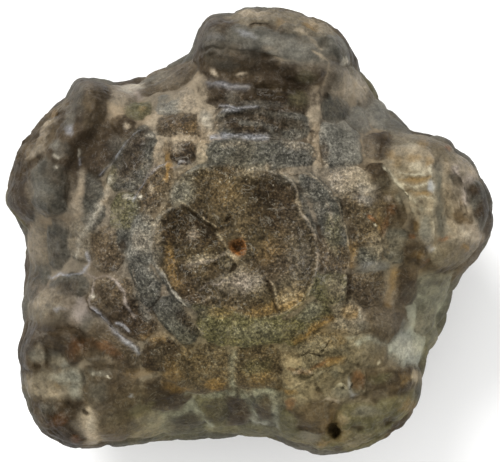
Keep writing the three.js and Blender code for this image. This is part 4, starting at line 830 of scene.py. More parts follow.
# The noises in the stone's colour: size, detail, roughness and distortion.
BLOTCH = (2.6 * MM, 5.0, 0.6)
PATCH = (1.0 * MM, 5.0, 0.65, 0.3)
GRAIN = (0.36 * MM, 5.0, 0.75)
MICRO = (0.19 * MM, 3.0, 0.75)
WARM = (1.8 * MM, 3.0, 0.55)
FILM = (0.9 * MM, 4.0, 0.62, 0.4)
THREAD = (1.1 * MM, 5.0, 0.65, 1.0)
DARK = (0.30 * MM, 2.0, 0.6)
PALE = (0.18 * MM, 2.0, 0.6)
# Masks: where a noise, a hollow or the mud's depth starts and ends to count, and then, where it
# isn't 0 and 1, what that gives.
WARM_MASK = (0.48, 0.66, 0.0, 0.38)
FILM_MASK = (0.53, 0.70, 0.0, 0.38)
THREAD_MASK = (0.020, 0.0)
THREAD_PATCHES = (0.42, 0.56, 0.0, 0.55)
MUD_WARM_MASK = (0.45, 0.65, 0.0, 0.5)
DUST_MASK = (-0.26, 0.0)
MUD_MASK = (-0.07, 0.07)
# Proud edges get pale wear and a painted highlight between these.
PROUD_HIGHLIGHT_MASK = (-0.05, -0.15)
RUBBED_HIGHLIGHT_PATCHES = (0.4, 0.65, 0.0, 0.55)
# Painted shade in the hollows starts and is whole between these.
PAINTED_SHADE_MASK = (0.05, 0.20, 0.0, 0.7)
DARK_MASK = (0.60, 0.70, 0.0, 0.22)
DARK_ON_MUD = (0.0, 1.0, 1.0, 0.15)
# The pale grains, painted bright as glints, show between these.
PALE_GLINT_MASK = (0.63, 0.74, 0.0, 0.45)
PALE_GLINT_CROWDS = (0.42, 0.62)
PALE_GLINT_OUTWARDS = (0.0, 0.8, 1.0, 0.1)
# How much of these is lost at the widest line, and how much wider the mud's edge gets there.
THREAD_LOSS = -0.6
RUBBED_HIGHLIGHT_LOSS = -0.75
PAINTED_SHADE_LOSS = -0.6
MUD_LOSS = -0.12
MUD_WIDENING = 1.2
# How much of the plates' own tint shows through the stain and the film, and how far it is
# brightened there, how far mud covers it, and how dark the dark grains are against umber.
STAIN_SHEERNESS = 0.65
STAIN_LIFT = 1.7
FILM_SHEERNESS = 0.9
FILM_LIFT = 2.0
MUD_OPACITY = 0.85
DARK_SHADE = 0.6
# The noises are drawn out down the flanks by as much as this squeezes them.
DOWN_SCALE = 0.45
# Between these lie most of a noise texture's values.
NOISE_BAND = (0.3, 0.7)
# How much lighter or darker the noises make the plates and the mud, as shares.
BLOTCH_LIGHT = (-0.28, 0.30)
PATCH_LIGHT = (-0.38, 0.45)
GRAIN_LIGHT = (-0.42, 0.48)
MUD_GRAIN_LIGHT = (-0.42, 0.34)
MUD_PATCH_LIGHT = (0.78, 1.18)
SPECKLE_BASE = 1.9
# How strong the grain, the broad noises and the bumps are by the stem and at the widest line.
SHARPNESS = (1.25, 0.34)
SOFTNESS = (0.85, 0.5)
BUMP_STRENGTH = (0.95, 0.35)
# How the grain, the patches and the blotches move the edge of the mud: the ends of each noise and
# how far it moves the edge.
MUD_RAGGEDNESS = ((0.25, 0.75, 0.07), (0.3, 0.7, 0.08), (0.3, 0.7, 0.05))
# How the roughness swings, how much rougher mud is, and how the grains share the bumps.
ROUGHNESS_SWING = 0.12
MUD_ROUGHNESS = 0.25
GRAIN_HEIGHT = 0.65
MICRO_HEIGHT = 0.35
SPECULAR = 0.04

# The floor's clouds: size and shade against the rest. And the floor's roughness.
CLOUD_SIZE = 60 * MM
CLOUD_SHADE = 0.985
FLOOR_ROUGHNESS = 0.9
# The two suns: name, width in degrees, and turns about x and y in degrees.
SUNS = (("key", 32, (-38, -26)), ("fill", 70, (42, 34)))
# How high the widest line lies, and how far to the right of the frame's middle the camera stands.
WIDEST_LEVEL = 10 * MM
CAMERA_X = 0.04 * MM
SENSOR_WIDTH = 36.0
CAMERA_REACH = 10.0


def smooth_curve(points, spread, period=None):
    """A function through the points, with its corners rounded over about the given spread."""
    x = np.array([p[0] for p in points], float)
    y = np.array([p[1] for p in points], float)
    low, high = (0.0, period) if period else (x[0], x[-1])
    fine = np.linspace(low, high, CURVE_SAMPLES)
    values = np.interp(fine, x, y, period=period)
    step = fine[1] - fine[0]
    reach = max(1, int(3 * spread / step))
    kernel = np.exp(-0.5 * (np.arange(-reach, reach + 1) * step / spread) ** 2)
    kernel /= kernel.sum()
    if period:
        padded = np.concatenate((values[-reach - 1:-1], values, values[1:reach + 1]))
    else:
        ahead = 2 * values[0] - values[reach:0:-1]
        behind = 2 * values[-1] - values[-2:-reach - 2:-1]
        padded = np.concatenate((ahead, values, behind))
    rounded = np.convolve(padded, kernel, "valid")
    return lambda at: np.interp(at, fine, rounded, period=period)


def fade_in(x, low, high):
    """0 up to the first value, 1 from the second on, and smooth between them."""
    t = np.clip((x - low) / (high - low), 0.0, 1.0)
    return t * t * (3 - 2 * t)


def fade_out(x, low, high):
    return 1 - fade_in(x, low, high)


def noise(points, size, seed, octaves=4, roughness=0.5):
    """Smooth random values, about -1 to 1, at points in space, with features of about that size."""
    total = np.zeros(len(points))
    gain, reach = 1.0, 0.0
    for octave in range(octaves):
        at = points / size * 2.0 ** octave + seed * SEED_SHIFT + octave * OCTAVE_SHIFT
        cell = np.floor(at).astype(np.int64)
        part = at - cell
        fade = part ** 3 * (part * (part * 6 - 15) + 10)
        value = np.zeros(len(points))
        for corner in range(8):
            step = np.array((corner & 1, corner >> 1 & 1, corner >> 2 & 1))
            weight = np.prod(np.where(step, fade, 1 - fade), axis=1)
            value += weight * cell_value(cell + step, seed * SEED_STEP + octave * OCTAVE_STEP)
        total += gain * value
        reach += gain
        gain *= roughness
    return total / reach * NOISE_GAIN


def cell_value(cell, seed):
    """A random value from -1 to 1 for each corner of the noise's lattice."""
    code = cell[:, 0] * CELL_PRIMES[0] ^ cell[:, 1] * CELL_PRIMES[1] ^ cell[:, 2] * CELL_PRIMES[2]
    code = (code ^ seed) & BITS
    code = (code * SCATTER[0] + SCATTER[1]) & BITS
    code = (code ^ code >> SCATTER[2]) * SCATTER[3] & BITS
    return code / (BITS // 2) - 1.0


def section_of(azimuth, share):
    """Radius about the canal and height of the plain cup, at a share of the way from the canal
    round the section to the middle of the crown."""
    outline = smooth_curve(OUTLINE, OUTLINE_ROUNDING, 360.0)(azimuth)
    facet = smooth_curve(FACET_EDGE, FACET_ROUNDING, 360.0)(azimuth)
    away = np.min([np.abs((azimuth - lobe + 180) % 360 - 180) for lobe in LOBES], axis=0)
    lobe = fade_out(away, LOBE_CORE, LOBE_EDGE)
    out, between, along = (
        smooth_curve([(row[0], row[column]) for row in FACE], FACE_ROUNDING)(share)
        for column in (1, 2, 3))
    radius = CONE_RADIUS + (outline - CONE_RADIUS) * out
    depth = between + (along - between) * lobe

    on_facet = share / FACET_SHARE
    dish = FACET_DISH * (1 - np.clip(on_facet, 0, 1) ** DISH_POWER)
    radius = np.where(share < FACET_SHARE, facet * on_facet, radius)
    depth = np.where(share < FACET_SHARE, dish, depth)

    on_cone = np.clip((share - FACET_SHARE) / (CONE_SHARE - FACET_SHARE), 0, 1)
    cone = (share >= FACET_SHARE) & (share < CONE_SHARE)
    step = RIM_STEP * fade_in(on_cone, 0.0, RIM_STEP_WIDTH)
    slope = CONE_SLOPE * on_cone + CONE_BEND * on_cone ** CONE_POWER
    radius = np.where(cone, facet + (CONE_RADIUS - facet) * on_cone, radius)
    depth = np.where(cone, step + (CONE_DROP - RIM_STEP) * slope, depth)

    on_flat = (share - FLAT_SHARE) / (1 - FLAT_SHARE)
    flat_edge = CONE_RADIUS + (outline - CONE_RADIUS) * FACE[-1][1]
    radius = np.where(share > FLAT_SHARE, flat_edge * (1 - on_flat), radius)
    depth = np.where(share > FLAT_SHARE, HEIGHT, depth)
    return radius, HEIGHT - depth


def line_distance(x, y, points):
    """Distance to a line through the points, and the side: 1 square off it towards the stem, 0
    straight on past its ends, -1 square off it on the other side."""
    best = np.full(len(x), np.inf)
    side = np.zeros(len(x))
    for (ax, ay), (bx, by) in zip(points, points[1:]):
        reach = (bx - ax) ** 2 + (by - ay) ** 2
        along = np.clip(((x - ax) * (bx - ax) + (y - ay) * (by - ay)) / reach, 0, 1)
        gap = np.hypot(x - ax - along * (bx - ax), y - ay - along * (by - ay))
        turn = (bx - ax) * (y - ay) - (by - ay) * (x - ax)
        stem = (bx - ax) * (CANAL_AXIS[1] - ay) - (by - ay) * (CANAL_AXIS[0] - ax)
        square = turn * np.sign(stem) / (math.sqrt(reach) * np.maximum(gap, 1e-6))
        side = np.where(gap < best, np.clip(square, -1, 1), side)
        best = np.minimum(gap, best)
    return best, side


def oval_distance(x, y, oval):
    """0 at the middle of an oval and 1 on its edge."""
    middle_x, middle_y, length, width, tilt = oval
    turn = math.radians(tilt)
    along = ((x - middle_x) * math.cos(turn) + (y - middle_y) * math.sin(turn)) / length
    across = (-(x - middle_x) * math.sin(turn) + (y - middle_y) * math.cos(turn)) / width
    return np.hypot(along, across)


def strongest(x, y, rows, edge):
    """The highest value of all the ovals that lie over each point."""
    best = np.zeros(len(x))
    for *oval, strength in rows:
        best = np.maximum(best, strength * fade_out(oval_distance(x, y, oval), *edge))
    return best


def brow_height(x, y):
    height = np.zeros(len(x))
    for inner, outer, rise, points in BROWS:
        gap, side = line_distance(x, y, points)
        width = outer + (inner - outer) * fade_in(side, -1, 1)
        height += (rise * np.exp(-(gap / width) ** BROW_POWER)) ** BROW_BLEND
    return height ** (1 / BROW_BLEND)


def step_height(x, y):
    height = np.zeros(len(x))
    for tread, riser, rise, points in STEPS:
        gap, side = line_distance(x, y, points)
        inside = rise * np.clip(1 - gap / tread, 0, 1)
        outside = rise * np.exp(-(gap / riser) ** 2)
        height += outside + (inside - outside) * fade_in(side, *STEP_TURN)
    return height


def detail_height(x, y, unbroken):
    height = np.zeros(len(x))
    for *oval, rise in HOLLOWS_AND_KNOBS:
        height += rise * np.exp(-oval_distance(x, y, oval) ** 3)
    for width, rise, _, _, points in EDGES_AND_CRACKS:
        gap, _ = line_distance(x, y, points)
        height += rise * unbroken * np.exp(-(gap / width) ** 2)
    return height


def flank_seeds(points, share):
    """Places for the plates of the hidden flanks and crown, about evenly spaced."""
    order = np.random.default_rng(PLACE_SEED).permutation(len(points))
    below = (share[order] > FLANK_SHARE) & (share[order] < FLAT_SHARE + FLANK_MARGIN)
    order = order[below][:FLANK_TRIES]
    kept = np.empty((0, 3))
    for place in points[order]:
        if not len(kept) or np.min(np.sum((kept - place) ** 2, axis=1)) > FLANK_SPACING ** 2:
            kept = np.vstack((kept, place))
    return kept


def plate_distance(points, ovals, heights, with_slope=False):
    """0 at each plate's middle and 1 on its edge, in the plate's own measure; with its slope."""
    x, y, z = points.T
    turn = np.radians(ovals[:, 4])
    cos, sin = np.cos(turn), np.sin(turn)
    along = ((x - ovals[:, 0]) * cos + (y - ovals[:, 1]) * sin) / ovals[:, 2]
    across = (-(x - ovals[:, 0]) * sin + (y - ovals[:, 1]) * cos) / ovals[:, 3]
    drop = (z - heights) / PLATE_DEPTH
    power = PLATE_SQUARENESS
    distance = (np.abs(along) ** power + np.abs(across) ** power + np.abs(drop) ** power) ** (1 / power)
    if not with_slope:
        return distance
    safe = np.maximum(distance, 1e-3)
    pulls = [np.sign(part) * (np.abs(part) / safe) ** (power - 1) for part in (along, across, drop)]
    along, across, drop = pulls[0] / ovals[:, 2], pulls[1] / ovals[:, 3], pulls[2] / PLATE_DEPTH
    return distance, np.stack((along * cos - across * sin, along * sin + across * cos, drop), 1)


class Contest:
    """Finds which plate is nearest to each point and which comes second, and how far both are."""

    def __init__(self, count):
        self.first, self.second = np.full(count, np.inf), np.full(count, np.inf)
        self.nearest, self.runner_up = np.zeros(count, int), np.zeros(count, int)

    def enter(self, index, here, found):
        """Lets one plate compete with its distances from some of the points."""
        best, next_best = self.first[here], self.second[here]
        wins, follows = found < best, found < next_best
        self.second[here] = np.where(wins, best, np.where(follows, found, next_best))
        self.runner_up[here] = np.where(
            wins, self.nearest[here], np.where(follows, index, self.runner_up[here]))
        self.first[here] = np.where(wins, found, best)
        self.nearest[here] = np.where(wins, index, self.nearest[here])


def lay_plates(points, share):
    """For each point: which plate it is on, how far inside its edge, and how far out it lies in
    its plate's own measure. Plates past the listed ones are those of the flanks and crown."""
    ovals = np.array([row[:5] for row in PLATES])
    upper = points[np.flatnonzero(share < FLANK_SHARE)[::HEIGHT_STRIDE]]
    heights = np.array([
        upper[np.argmin(np.sum((upper[:, :2] - oval[:2]) ** 2, axis=1)), 2] for oval in ovals])
    seeds = flank_seeds(points, share)
    contest = Contest(len(points))
    here = np.flatnonzero(share < LISTED_END)
    for index in range(len(PLATES)):
        found = plate_distance(points[here], ovals[index:index + 1], heights[index])
        contest.enter(index, here, found)
    here = np.flatnonzero(share > FLANK_START)
    for index, seed in enumerate(seeds, len(PLATES)):
        contest.enter(index, here, np.linalg.norm(points[here] - seed, axis=1) / FLANK_SIZE)

    def slope(index):
        in_list = np.minimum(index, len(PLATES) - 1)
        _, of_plate = plate_distance(points, ovals[in_list], heights[in_list], with_slope=True)
        away = points - seeds[np.clip(index - len(PLATES), 0, len(seeds) - 1)]
        of_seed = away / np.maximum(np.linalg.norm(away, axis=1), 1e-3)[:, None] / FLANK_SIZE
        return np.where((index < len(PLATES))[:, None], of_plate, of_seed)

    steepness = np.linalg.norm(slope(contest.runner_up) - slope(contest.nearest), axis=1)
    inside = (contest.second - contest.first) / np.maximum(steepness, LEAST_STEEPNESS)
    return contest.nearest, inside, contest.first


class Skin:
    """The mesh of the cup in millimetres: its points, its normals, and means over neighbours."""

    def __init__(self, mesh):
        self.mesh = mesh
        self.count = len(mesh.vertices)
        edges = np.zeros(len(mesh.edges) * 2, np.int32)
        mesh.edges.foreach_get("vertices", edges)
        self.starts, self.ends = edges.reshape(-1, 2).T
        self.valence = self.gather(np.ones(self.count))

    def gather(self, values):
        """For each point, the sum of the values of the points that it is joined to."""
        return (np.bincount(self.starts, values[self.ends], self.count)
                + np.bincount(self.ends, values[self.starts], self.count))

    def places(self):
        places = np.zeros(self.count * 3, np.float32)
        self.mesh.vertices.foreach_get("co", places)
        return places.reshape(-1, 3).astype(float) / MM

    def normals(self):
        normals = np.zeros(self.count * 3, np.float32)
        self.mesh.vertex_normals.foreach_get("vector", normals)
        return normals.reshape(-1, 3).astype(float)

    def move(self, places):
        self.mesh.vertices.foreach_set("co", (places * MM).astype(np.float32).ravel())
        self.mesh.update()

    def smoothed(self, values, rounds):
        """The values, blended with those of the points round them so many times."""
        values = values.copy()
        for _ in range(rounds):
            for column in values.reshape(self.count, -1).T:
                column[:] = 0.5 * column + 0.5 * self.gather(column) / self.valence
        return values

    def paint(self, name, values):
        """Stores a value or a colour for each point."""
        kind, key = ("FLOAT", "value") if values.ndim == 1 else ("FLOAT_COLOR", "color")
        attribute = self.mesh.attributes.new(name, kind, "POINT")
        if values.ndim == 2:
            values = np.column_stack((values, np.ones(self.count)))
        attribute.data.foreach_set(key, values.astype(np.float32).ravel())


def blend(values, weight, stone):
    """Moves colours towards that of a stone."""
    values += weight * (np.array(STONES[stone]) - values)


class Cup(Skin):
    """A fine sphere that is turned into the cup step by step. Its arrays hold one value for each
    point. The shader reads what the last steps paint."""

    def lay_section(self):
        """Finds the plain cup, and where the tables' marks end."""
        sphere = self.places()
        azimuth = np.degrees(np.arctan2(sphere[:, 1], sphere[:, 0])) % 360
        polar = np.arccos(np.clip(sphere[:, 2] / np.linalg.norm(sphere, axis=1), -1, 1)) / math.pi
        self.share = smooth_curve(SPREAD, SPREAD_ROUNDING)(polar)
        radius, z = section_of(azimuth, self.share)
        x = CANAL_AXIS[0] + radius * np.cos(np.radians(azimuth))
        y = CANAL_AXIS[1] + radius * np.sin(np.radians(azimuth))
        self.cup = np.column_stack((x, y, z))
        self.seen = fade_out(self.share, *MARKS_OUT)

    def wander(self, reach, size, seeds, octaves):
        """Noise in three directions."""
        return np.column_stack([reach * noise(self.cup, size, seed, octaves) for seed in seeds])

    def raise_lobes(self):
        """Lifts the brows, steps, knobs and edges off the plain cup, and sinks the hollows."""
        x, y, z = self.cup.T
        self.unbroken = UNBROKEN_LEAST + UNBROKEN_SWING * fade_in(noise(self.cup, *NOISES["breaks"]), *BREAKS)
        warp, fine_warp = self.wander(*BROAD_WARP), self.wander(*FINE_WARP)
        self.map = (x + warp[:, 0] * MAP_WARP + fine_warp[:, 0], y + warp[:, 1] * MAP_WARP + fine_warp[:, 1])
        z = z + fade_out(self.share, *BROWS_OUT) * brow_height(*self.map) + self.seen * (
            step_height(*self.map) + detail_height(*self.map, self.unbroken))
        fields = self.seen * fade_in(self.share, *FIELDS_IN)
        z = z + fields * FIELD_RELIEF * noise(self.cup, *NOISES["fields"])
        self.base = np.column_stack((x, y, z))
        self.warped = self.base + warp + fine_warp
        self.move(self.base)

    def swell_plates(self):
        """Finds how high the plates stand between their seams, with their grain and pits."""
        self.nearest, inside, outness = lay_plates(self.warped, self.share)
        rises = np.array([row[-1] for row in PLATES] + [FLANK_RISE])
        rise = rises[np.minimum(self.nearest, len(PLATES))]
        rough = strongest(*self.map, ROUGH_GROUND, ROUGH_EDGE) * self.seen
        on_face = fade_in(self.share, *PLATES_IN)
        wear = WEAR_MEAN + WEAR_SWING * noise(self.base, *NOISES["wear"])
        dome = 1 - np.clip(outness / DOME_REACH, 0, DOME_END) ** 2
        seam = np.exp(-(inside / SEAM_WIDTH) ** 2) + CORE_CUT * np.exp(-(inside / SEAM_CORE) ** 2)
        plates = on_face * wear * rise * (PLATE_DOME * dome - SEAM_CUT * seam)
        plates -= on_face * fade_out(self.share, *GAPS_OUT) * GAP_DEPTH * fade_in(outness, *GAP_EDGE)
        self.broad = noise(self.base, *NOISES["broad"])
        self.fine = noise(self.base, *NOISES["fine"])
        torn = ROUGH_RELIEF * noise(self.base, *NOISES["rough"]) + ROUGH_FINE_RELIEF * self.fine
        plates += BROAD_RELIEF * self.broad + FINE_RELIEF * self.fine + rough * torn
        self.pits = fade_in(noise(self.base, *NOISES["pits"]), *PIT_EDGE)
        plates -= (PIT_DEPTH + ROUGH_PIT_DEPTH * rough) * self.pits * fade_in(self.share, *PITS_IN)
        self.plates = plates

    def fill_mud(self):
        """Lays mud level in the hollows between the plates, and gives it its own tint."""
        self.level = np.full(self.count, MUD_LEVEL)
        self.mud_tint = np.tile(STONES["clay"], (self.count, 1))
        for *oval, level, stone in MUD:
            weight = self.seen * fade_out(oval_distance(*self.map, oval), *MUD_EDGE)
            self.level += weight * (level - self.level)
            blend(self.mud_tint, np.sqrt(weight)[:, None], stone)
        self.level += MUD_RELIEF * noise(self.base, *NOISES["mud"])
        self.level = np.where(self.share < FACET_SHARE, FACET_MUD, self.level)

    def set_surface(self):
        """Moves the points out to the plates and the mud, and rests the crown on the floor."""
        surface = self.base + self.normals() * np.maximum(self.plates, self.level)[:, None]
        flat = self.share > FLAT_SHARE - FLAT_MARGIN
        surface[:, 2] = np.maximum(surface[:, 2], np.where(flat, CROWN_RELIEF * self.pits, 0.0))
        self.move(surface)
        self.surface = surface

    def paint_stones(self):
        """Paints the plates, softened over their seams, then the stains and lines over them."""
        rng = np.random.default_rng(STONE_SEED)
        flank_names = rng.choice(FLANK_STONES, self.nearest.max() + 1)
        names = [row[5] for row in PLATES] + list(flank_names)
        tint = np.array([STONES[name] for name in names])[self.nearest]
        tint = np.where((self.share < FACET_SHARE)[:, None], FACET_STONE, tint)
        tint = self.smoothed(tint, TINT_ROUNDS)
        for *oval, stone, strength in STAINS:
            away = oval_distance(*self.map, oval) + STAIN_FRAY[0] * self.fine + STAIN_FRAY[1] * self.broad
            weight = (strength * self.seen * fade_out(away, *STAIN_EDGE))[:, None]
            blend(tint, weight, stone)
            blend(self.mud_tint, MUD_STAINING * weight, stone)
        cover = self.level - self.plates
        for width, _, stone, strength, points in EDGES_AND_CRACKS:
            gap, _ = line_distance(*self.map, points)
            line = np.exp(-(gap / (LINE_SPREAD * width)) ** 2) * (LINE_FRAY[0] + LINE_FRAY[1] * self.fine)
            weight = np.clip(strength * self.seen * self.unbroken * line, 0, 1)[:, None]
            blend(tint, weight, stone)
            blend(self.mud_tint, weight, stone)
            cover = np.maximum(cover, LINE_COVER[0] * weight[:, 0] + LINE_COVER[1])
        self.paint("stone_tint", tint)
        self.paint("mud_tint", self.mud_tint)
        self.paint("mud_depth", cover)

    def paint_light_cast_softness_and_hollows(self):
        """Paints the painted light cast, how soft the grain is, and how far each point lies in a hollow."""
        self.paint("light_cast", strongest(*self.map, OLIVE_LIGHT_CAST, MUD_EDGE))
        away = np.hypot(self.cup[:, 0] - CANAL_AXIS[0], self.cup[:, 1] - CANAL_AXIS[1])
        flank = fade_in(self.share, *FLANK_GRAIN_IN)
        self.paint("polish", fade_in(away, *SOFTENING) * (1 - FLANK_GRAIN * flank))
        # The hollows steer the shader's painted shade in hollows and painted highlight on proud edges.
        means = self.smoothed(self.surface, HOLLOW_ROUNDS)
        self.paint("hollow", np.einsum("ij,ij->i", means - self.surface, self.normals()))


def sculpt(mesh):
    """Turns a fine sphere into the finished cup, and stores on it what the stone's shader reads."""
    cup = Cup(mesh)
    cup.lay_section()
    cup.raise_lobes()
    cup.swell_plates()
    cup.fill_mud()
    cup.set_surface()
    cup.paint_stones()
    cup.paint_light_cast_softness_and_hollows()


class Graph:
    """Adds nodes to a shader tree and joins them, so that a material reads as a list of steps."""

    def __init__(self, tree):
        self.tree = tree

    def node(self, kind, inputs=(), **settings):
        new = self.tree.nodes.new(kind)
        for key, value in settings.items():
            setattr(new, key, value)
        for key, value in dict(inputs).items():
            self.feed(value, new.inputs[key])
        return new

    def feed(self, value, socket):
        """Joins a socket to the value, or sets it where the value is a plain one."""
        if isinstance(value, bpy.types.NodeSocket):
            self.tree.links.new(value, socket)
        else:
            socket.default_value = value

    def math(self, operation, a, b=0.0, clamp=False):
        new = self.node("ShaderNodeMath", operation=operation, use_clamp=clamp)
        self.feed(a, new.inputs[0])
        self.feed(b, new.inputs[1])
        return new.outputs[0]

    def add(self, a, b, clamp=False):
        return self.math("ADD", a, b, clamp)

    def times(self, a, b):
        return self.math("MULTIPLY", a, b)

    def remap(self, value, low, high, to_low=0.0, to_high=1.0, smooth=True):
        kind = "SMOOTHSTEP" if smooth else "LINEAR"
        ends = {"From Min": low, "From Max": high, "To Min": to_low, "To Max": to_high}
        new = self.node("ShaderNodeMapRange", ends, interpolation_type=kind)
        self.feed(value, new.inputs["Value"])
        return new.outputs["Result"]

    def spread(self, texture, to_low, to_high):
        """The band that most of a noise texture's values lie in, spread between two values."""
        return self.remap(texture, *NOISE_BAND, to_low, to_high)

    def mix(self, factor, a, b, blend="MIX"):
        new = self.node("ShaderNodeMix", data_type="RGBA", blend_type=blend, clamp_factor=True)
        self.feed(factor, new.inputs["Factor"])
        self.feed(a, new.inputs[6])
        self.feed(b, new.inputs[7])
        return new.outputs[2]

    def brighten(self, color, light):
        """The colour times a value."""
        parts = {"Red": light, "Green": light, "Blue": light}
        return self.mix(1.0, color, self.node("ShaderNodeCombineColor", parts).outputs[0], "MULTIPLY")

    def swing(self, value, amount):
        """One plus the value times the amount."""
        return self.add(self.times(value, amount), 1.0)

    def noise(self, where, size, detail=4.0, roughness=0.5, distortion=0.0):
        values = {"Scale": 1.0 / size, "Detail": detail, "Roughness": roughness, "Distortion": distortion}
        new = self.node("ShaderNodeTexNoise", values)
        self.feed(where, new.inputs["Vector"])
        return new.outputs["Fac"]

    def attribute(self, name, output="Fac"):
        return self.node("ShaderNodeAttribute", attribute_name=name).outputs[output]


def rgba(color, times=1.0):
    return (*(part * times for part in color), 1.0)


class StoneGraph(Graph):
    """The stone's shader: the noises and masks that its layers share, and the layers from the plates' own
    stone up to the painted light cast. Each layer takes the colour below it and gives the new one."""

    def __init__(self, tree, look):
        super().__init__(tree)
        self.look = look
        place = self.node("ShaderNodeTexCoord").outputs["Object"]
        scale = (1.0, 1.0, DOWN_SCALE)
        self.where = self.node("ShaderNodeMapping", {"Vector": place, "Scale": scale}).outputs[0]
        self.blotch = self.noise(self.where, *BLOTCH)
        self.patch = self.noise(self.where, *PATCH)
        self.grain = self.noise(self.where, *GRAIN)
        self.micro = self.noise(self.where, *MICRO)
        self.hollow = self.attribute("hollow")
        self.polish = self.attribute("polish")
        self.sharp = self.remap(self.polish, 0.0, 1.0, *SHARPNESS)

    def plates(self):
        """The stone of the plates: blotched, grained, stained warm in places, filmed in others."""
        soft = self.remap(self.polish, 0.0, 1.0, *SOFTNESS)
        light = self.times(self.swing(self.spread(self.blotch, *BLOTCH_LIGHT), soft),
                           self.swing(self.spread(self.patch, *PATCH_LIGHT), soft))
        light = self.times(light, self.swing(self.spread(self.grain, *GRAIN_LIGHT), self.sharp))
        speckle = self.times(self.spread(self.micro, -1.0, 1.0), self.sharp)
        light = self.times(light, self.math("POWER", SPECKLE_BASE, speckle))
        tint = self.attribute("stone_tint", "Color")
        stone = self.brighten(tint, light)
        warm = self.remap(self.noise(self.where, *WARM), *WARM_MASK)
        lifted = self.brighten(tint, STAIN_LIFT)
        warmed = self.mix(STAIN_SHEERNESS, rgba(self.look.stain_color), lifted)
        stone = self.mix(warm, stone, self.brighten(warmed, light))
        film = self.remap(self.noise(self.where, *FILM), *FILM_MASK)
        lifted = self.brighten(tint, FILM_LIFT)
        filmed = self.mix(FILM_SHEERNESS, rgba(self.look.film_color), lifted)
        return self.mix(film, stone, filmed)

    def threads(self, stone):
        """Fine pale threads of calcite that wander over the plates."""
        line = self.math("SUBTRACT", self.noise(self.where, *THREAD), 0.5)
        line = self.remap(self.math("ABSOLUTE", line), *THREAD_MASK)
        line = self.times(line, self.remap(self.patch, *THREAD_PATCHES))
        line = self.times(line, self.swing(self.polish, THREAD_LOSS))
        return self.mix(line, stone, rgba(self.look.rubbed_highlight_color))

    def mud_edge(self):
        """How deep the mud lies, with its edge made ragged by the noises."""
        depth = self.attribute("mud_depth")
        for texture, (low, high, reach) in zip((self.grain, self.patch, self.blotch), MUD_RAGGEDNESS):
            depth = self.add(depth, self.remap(texture, low, high, -reach, reach, False))
        depth = self.add(depth, self.times(self.polish, MUD_LOSS))
        return self.math("DIVIDE", depth, self.swing(self.polish, MUD_WIDENING))

    def mud(self, stone):
        """Mud in the hollows, and dust on the stone beside it."""
        mud = self.swing(self.spread(self.grain, *MUD_GRAIN_LIGHT), self.sharp)
        mud = self.brighten(self.attribute("mud_tint", "Color"), mud)
        mud = self.brighten(mud, self.spread(self.patch, *MUD_PATCH_LIGHT))
        warmed = self.mix(1.0, mud, rgba(self.look.mud_warmth), "MULTIPLY")
        mud = self.mix(self.remap(self.blotch, *MUD_WARM_MASK), mud, warmed)
        depth = self.mud_edge()
        stone = self.mix(self.times(self.remap(depth, *DUST_MASK), self.look.dust), stone, mud)
        self.cover = self.remap(depth, *MUD_MASK)
        return self.mix(self.times(self.cover, MUD_OPACITY), stone, mud)

    def wear(self, stone):
        """Proud edges are rubbed pale with a painted highlight, and the hollows get painted shade in umber.
        """
        rubbed_highlight = self.remap(self.hollow, *PROUD_HIGHLIGHT_MASK)
        rubbed_highlight = self.times(rubbed_highlight, self.remap(self.patch, *RUBBED_HIGHLIGHT_PATCHES))
        rubbed_highlight = self.times(rubbed_highlight, self.swing(self.polish, RUBBED_HIGHLIGHT_LOSS))
        stone = self.mix(rubbed_highlight, stone, rgba(self.look.rubbed_highlight_color))
        # Painted shade: umber laid in the hollows, where shade falls.
        painted_shade = self.times(self.remap(self.hollow, *PAINTED_SHADE_MASK), self.swing(self.polish, PAINTED_SHADE_LOSS))
        return self.mix(painted_shade, stone, rgba(STONES["umber"]))

    def crystals(self, stone):
        """Grains of dark and of pale crystal. The pale ones are painted bright as glints, and crowd in
        places.
        """
        dark = self.remap(self.noise(self.where, *DARK), *DARK_MASK)
        dark = self.times(dark, self.remap(self.cover, *DARK_ON_MUD))
        pale = self.remap(self.noise(self.where, *PALE), *PALE_GLINT_MASK)
        pale = self.times(pale, self.remap(self.polish, *PALE_GLINT_OUTWARDS))
        pale = self.times(pale, self.remap(self.blotch, *PALE_GLINT_CROWDS))
        stone = self.mix(dark, stone, rgba(STONES["umber"], DARK_SHADE))
        return self.mix(pale, stone, rgba(self.look.grain_glint_color))

    def light_cast(self, stone):
        """Painted light cast: greenish yellow over the lower fields, and a little cooler over the rest, for
        the colour of the light that falls there.
        """
        light_cast = self.mix(self.attribute("light_cast"), rgba(self.look.cool_light_cast), rgba(self.look.olive_light_cast))
        return self.mix(1.0, stone, light_cast, "MULTIPLY")

    def roughness(self):
        """The stone's own roughness, give or take, and rougher mud."""
        middle = self.look.roughness
        roughness = self.spread(self.patch, middle - ROUGHNESS_SWING, middle + ROUGHNESS_SWING)
        return self.add(roughness, self.times(self.cover, MUD_ROUGHNESS), clamp=True)

    def relief(self):
        """The finest grain, as bumps that get softer outwards."""
        height = self.add(self.times(self.grain, GRAIN_HEIGHT), self.times(self.micro, MICRO_HEIGHT))
        strength = self.remap(self.polish, 0.0, 1.0, *BUMP_STRENGTH)
        bumps = {"Strength": strength, "Distance": self.look.grain_depth, "Height": height}
        return self.node("ShaderNodeBump", bumps).outputs["Normal"]


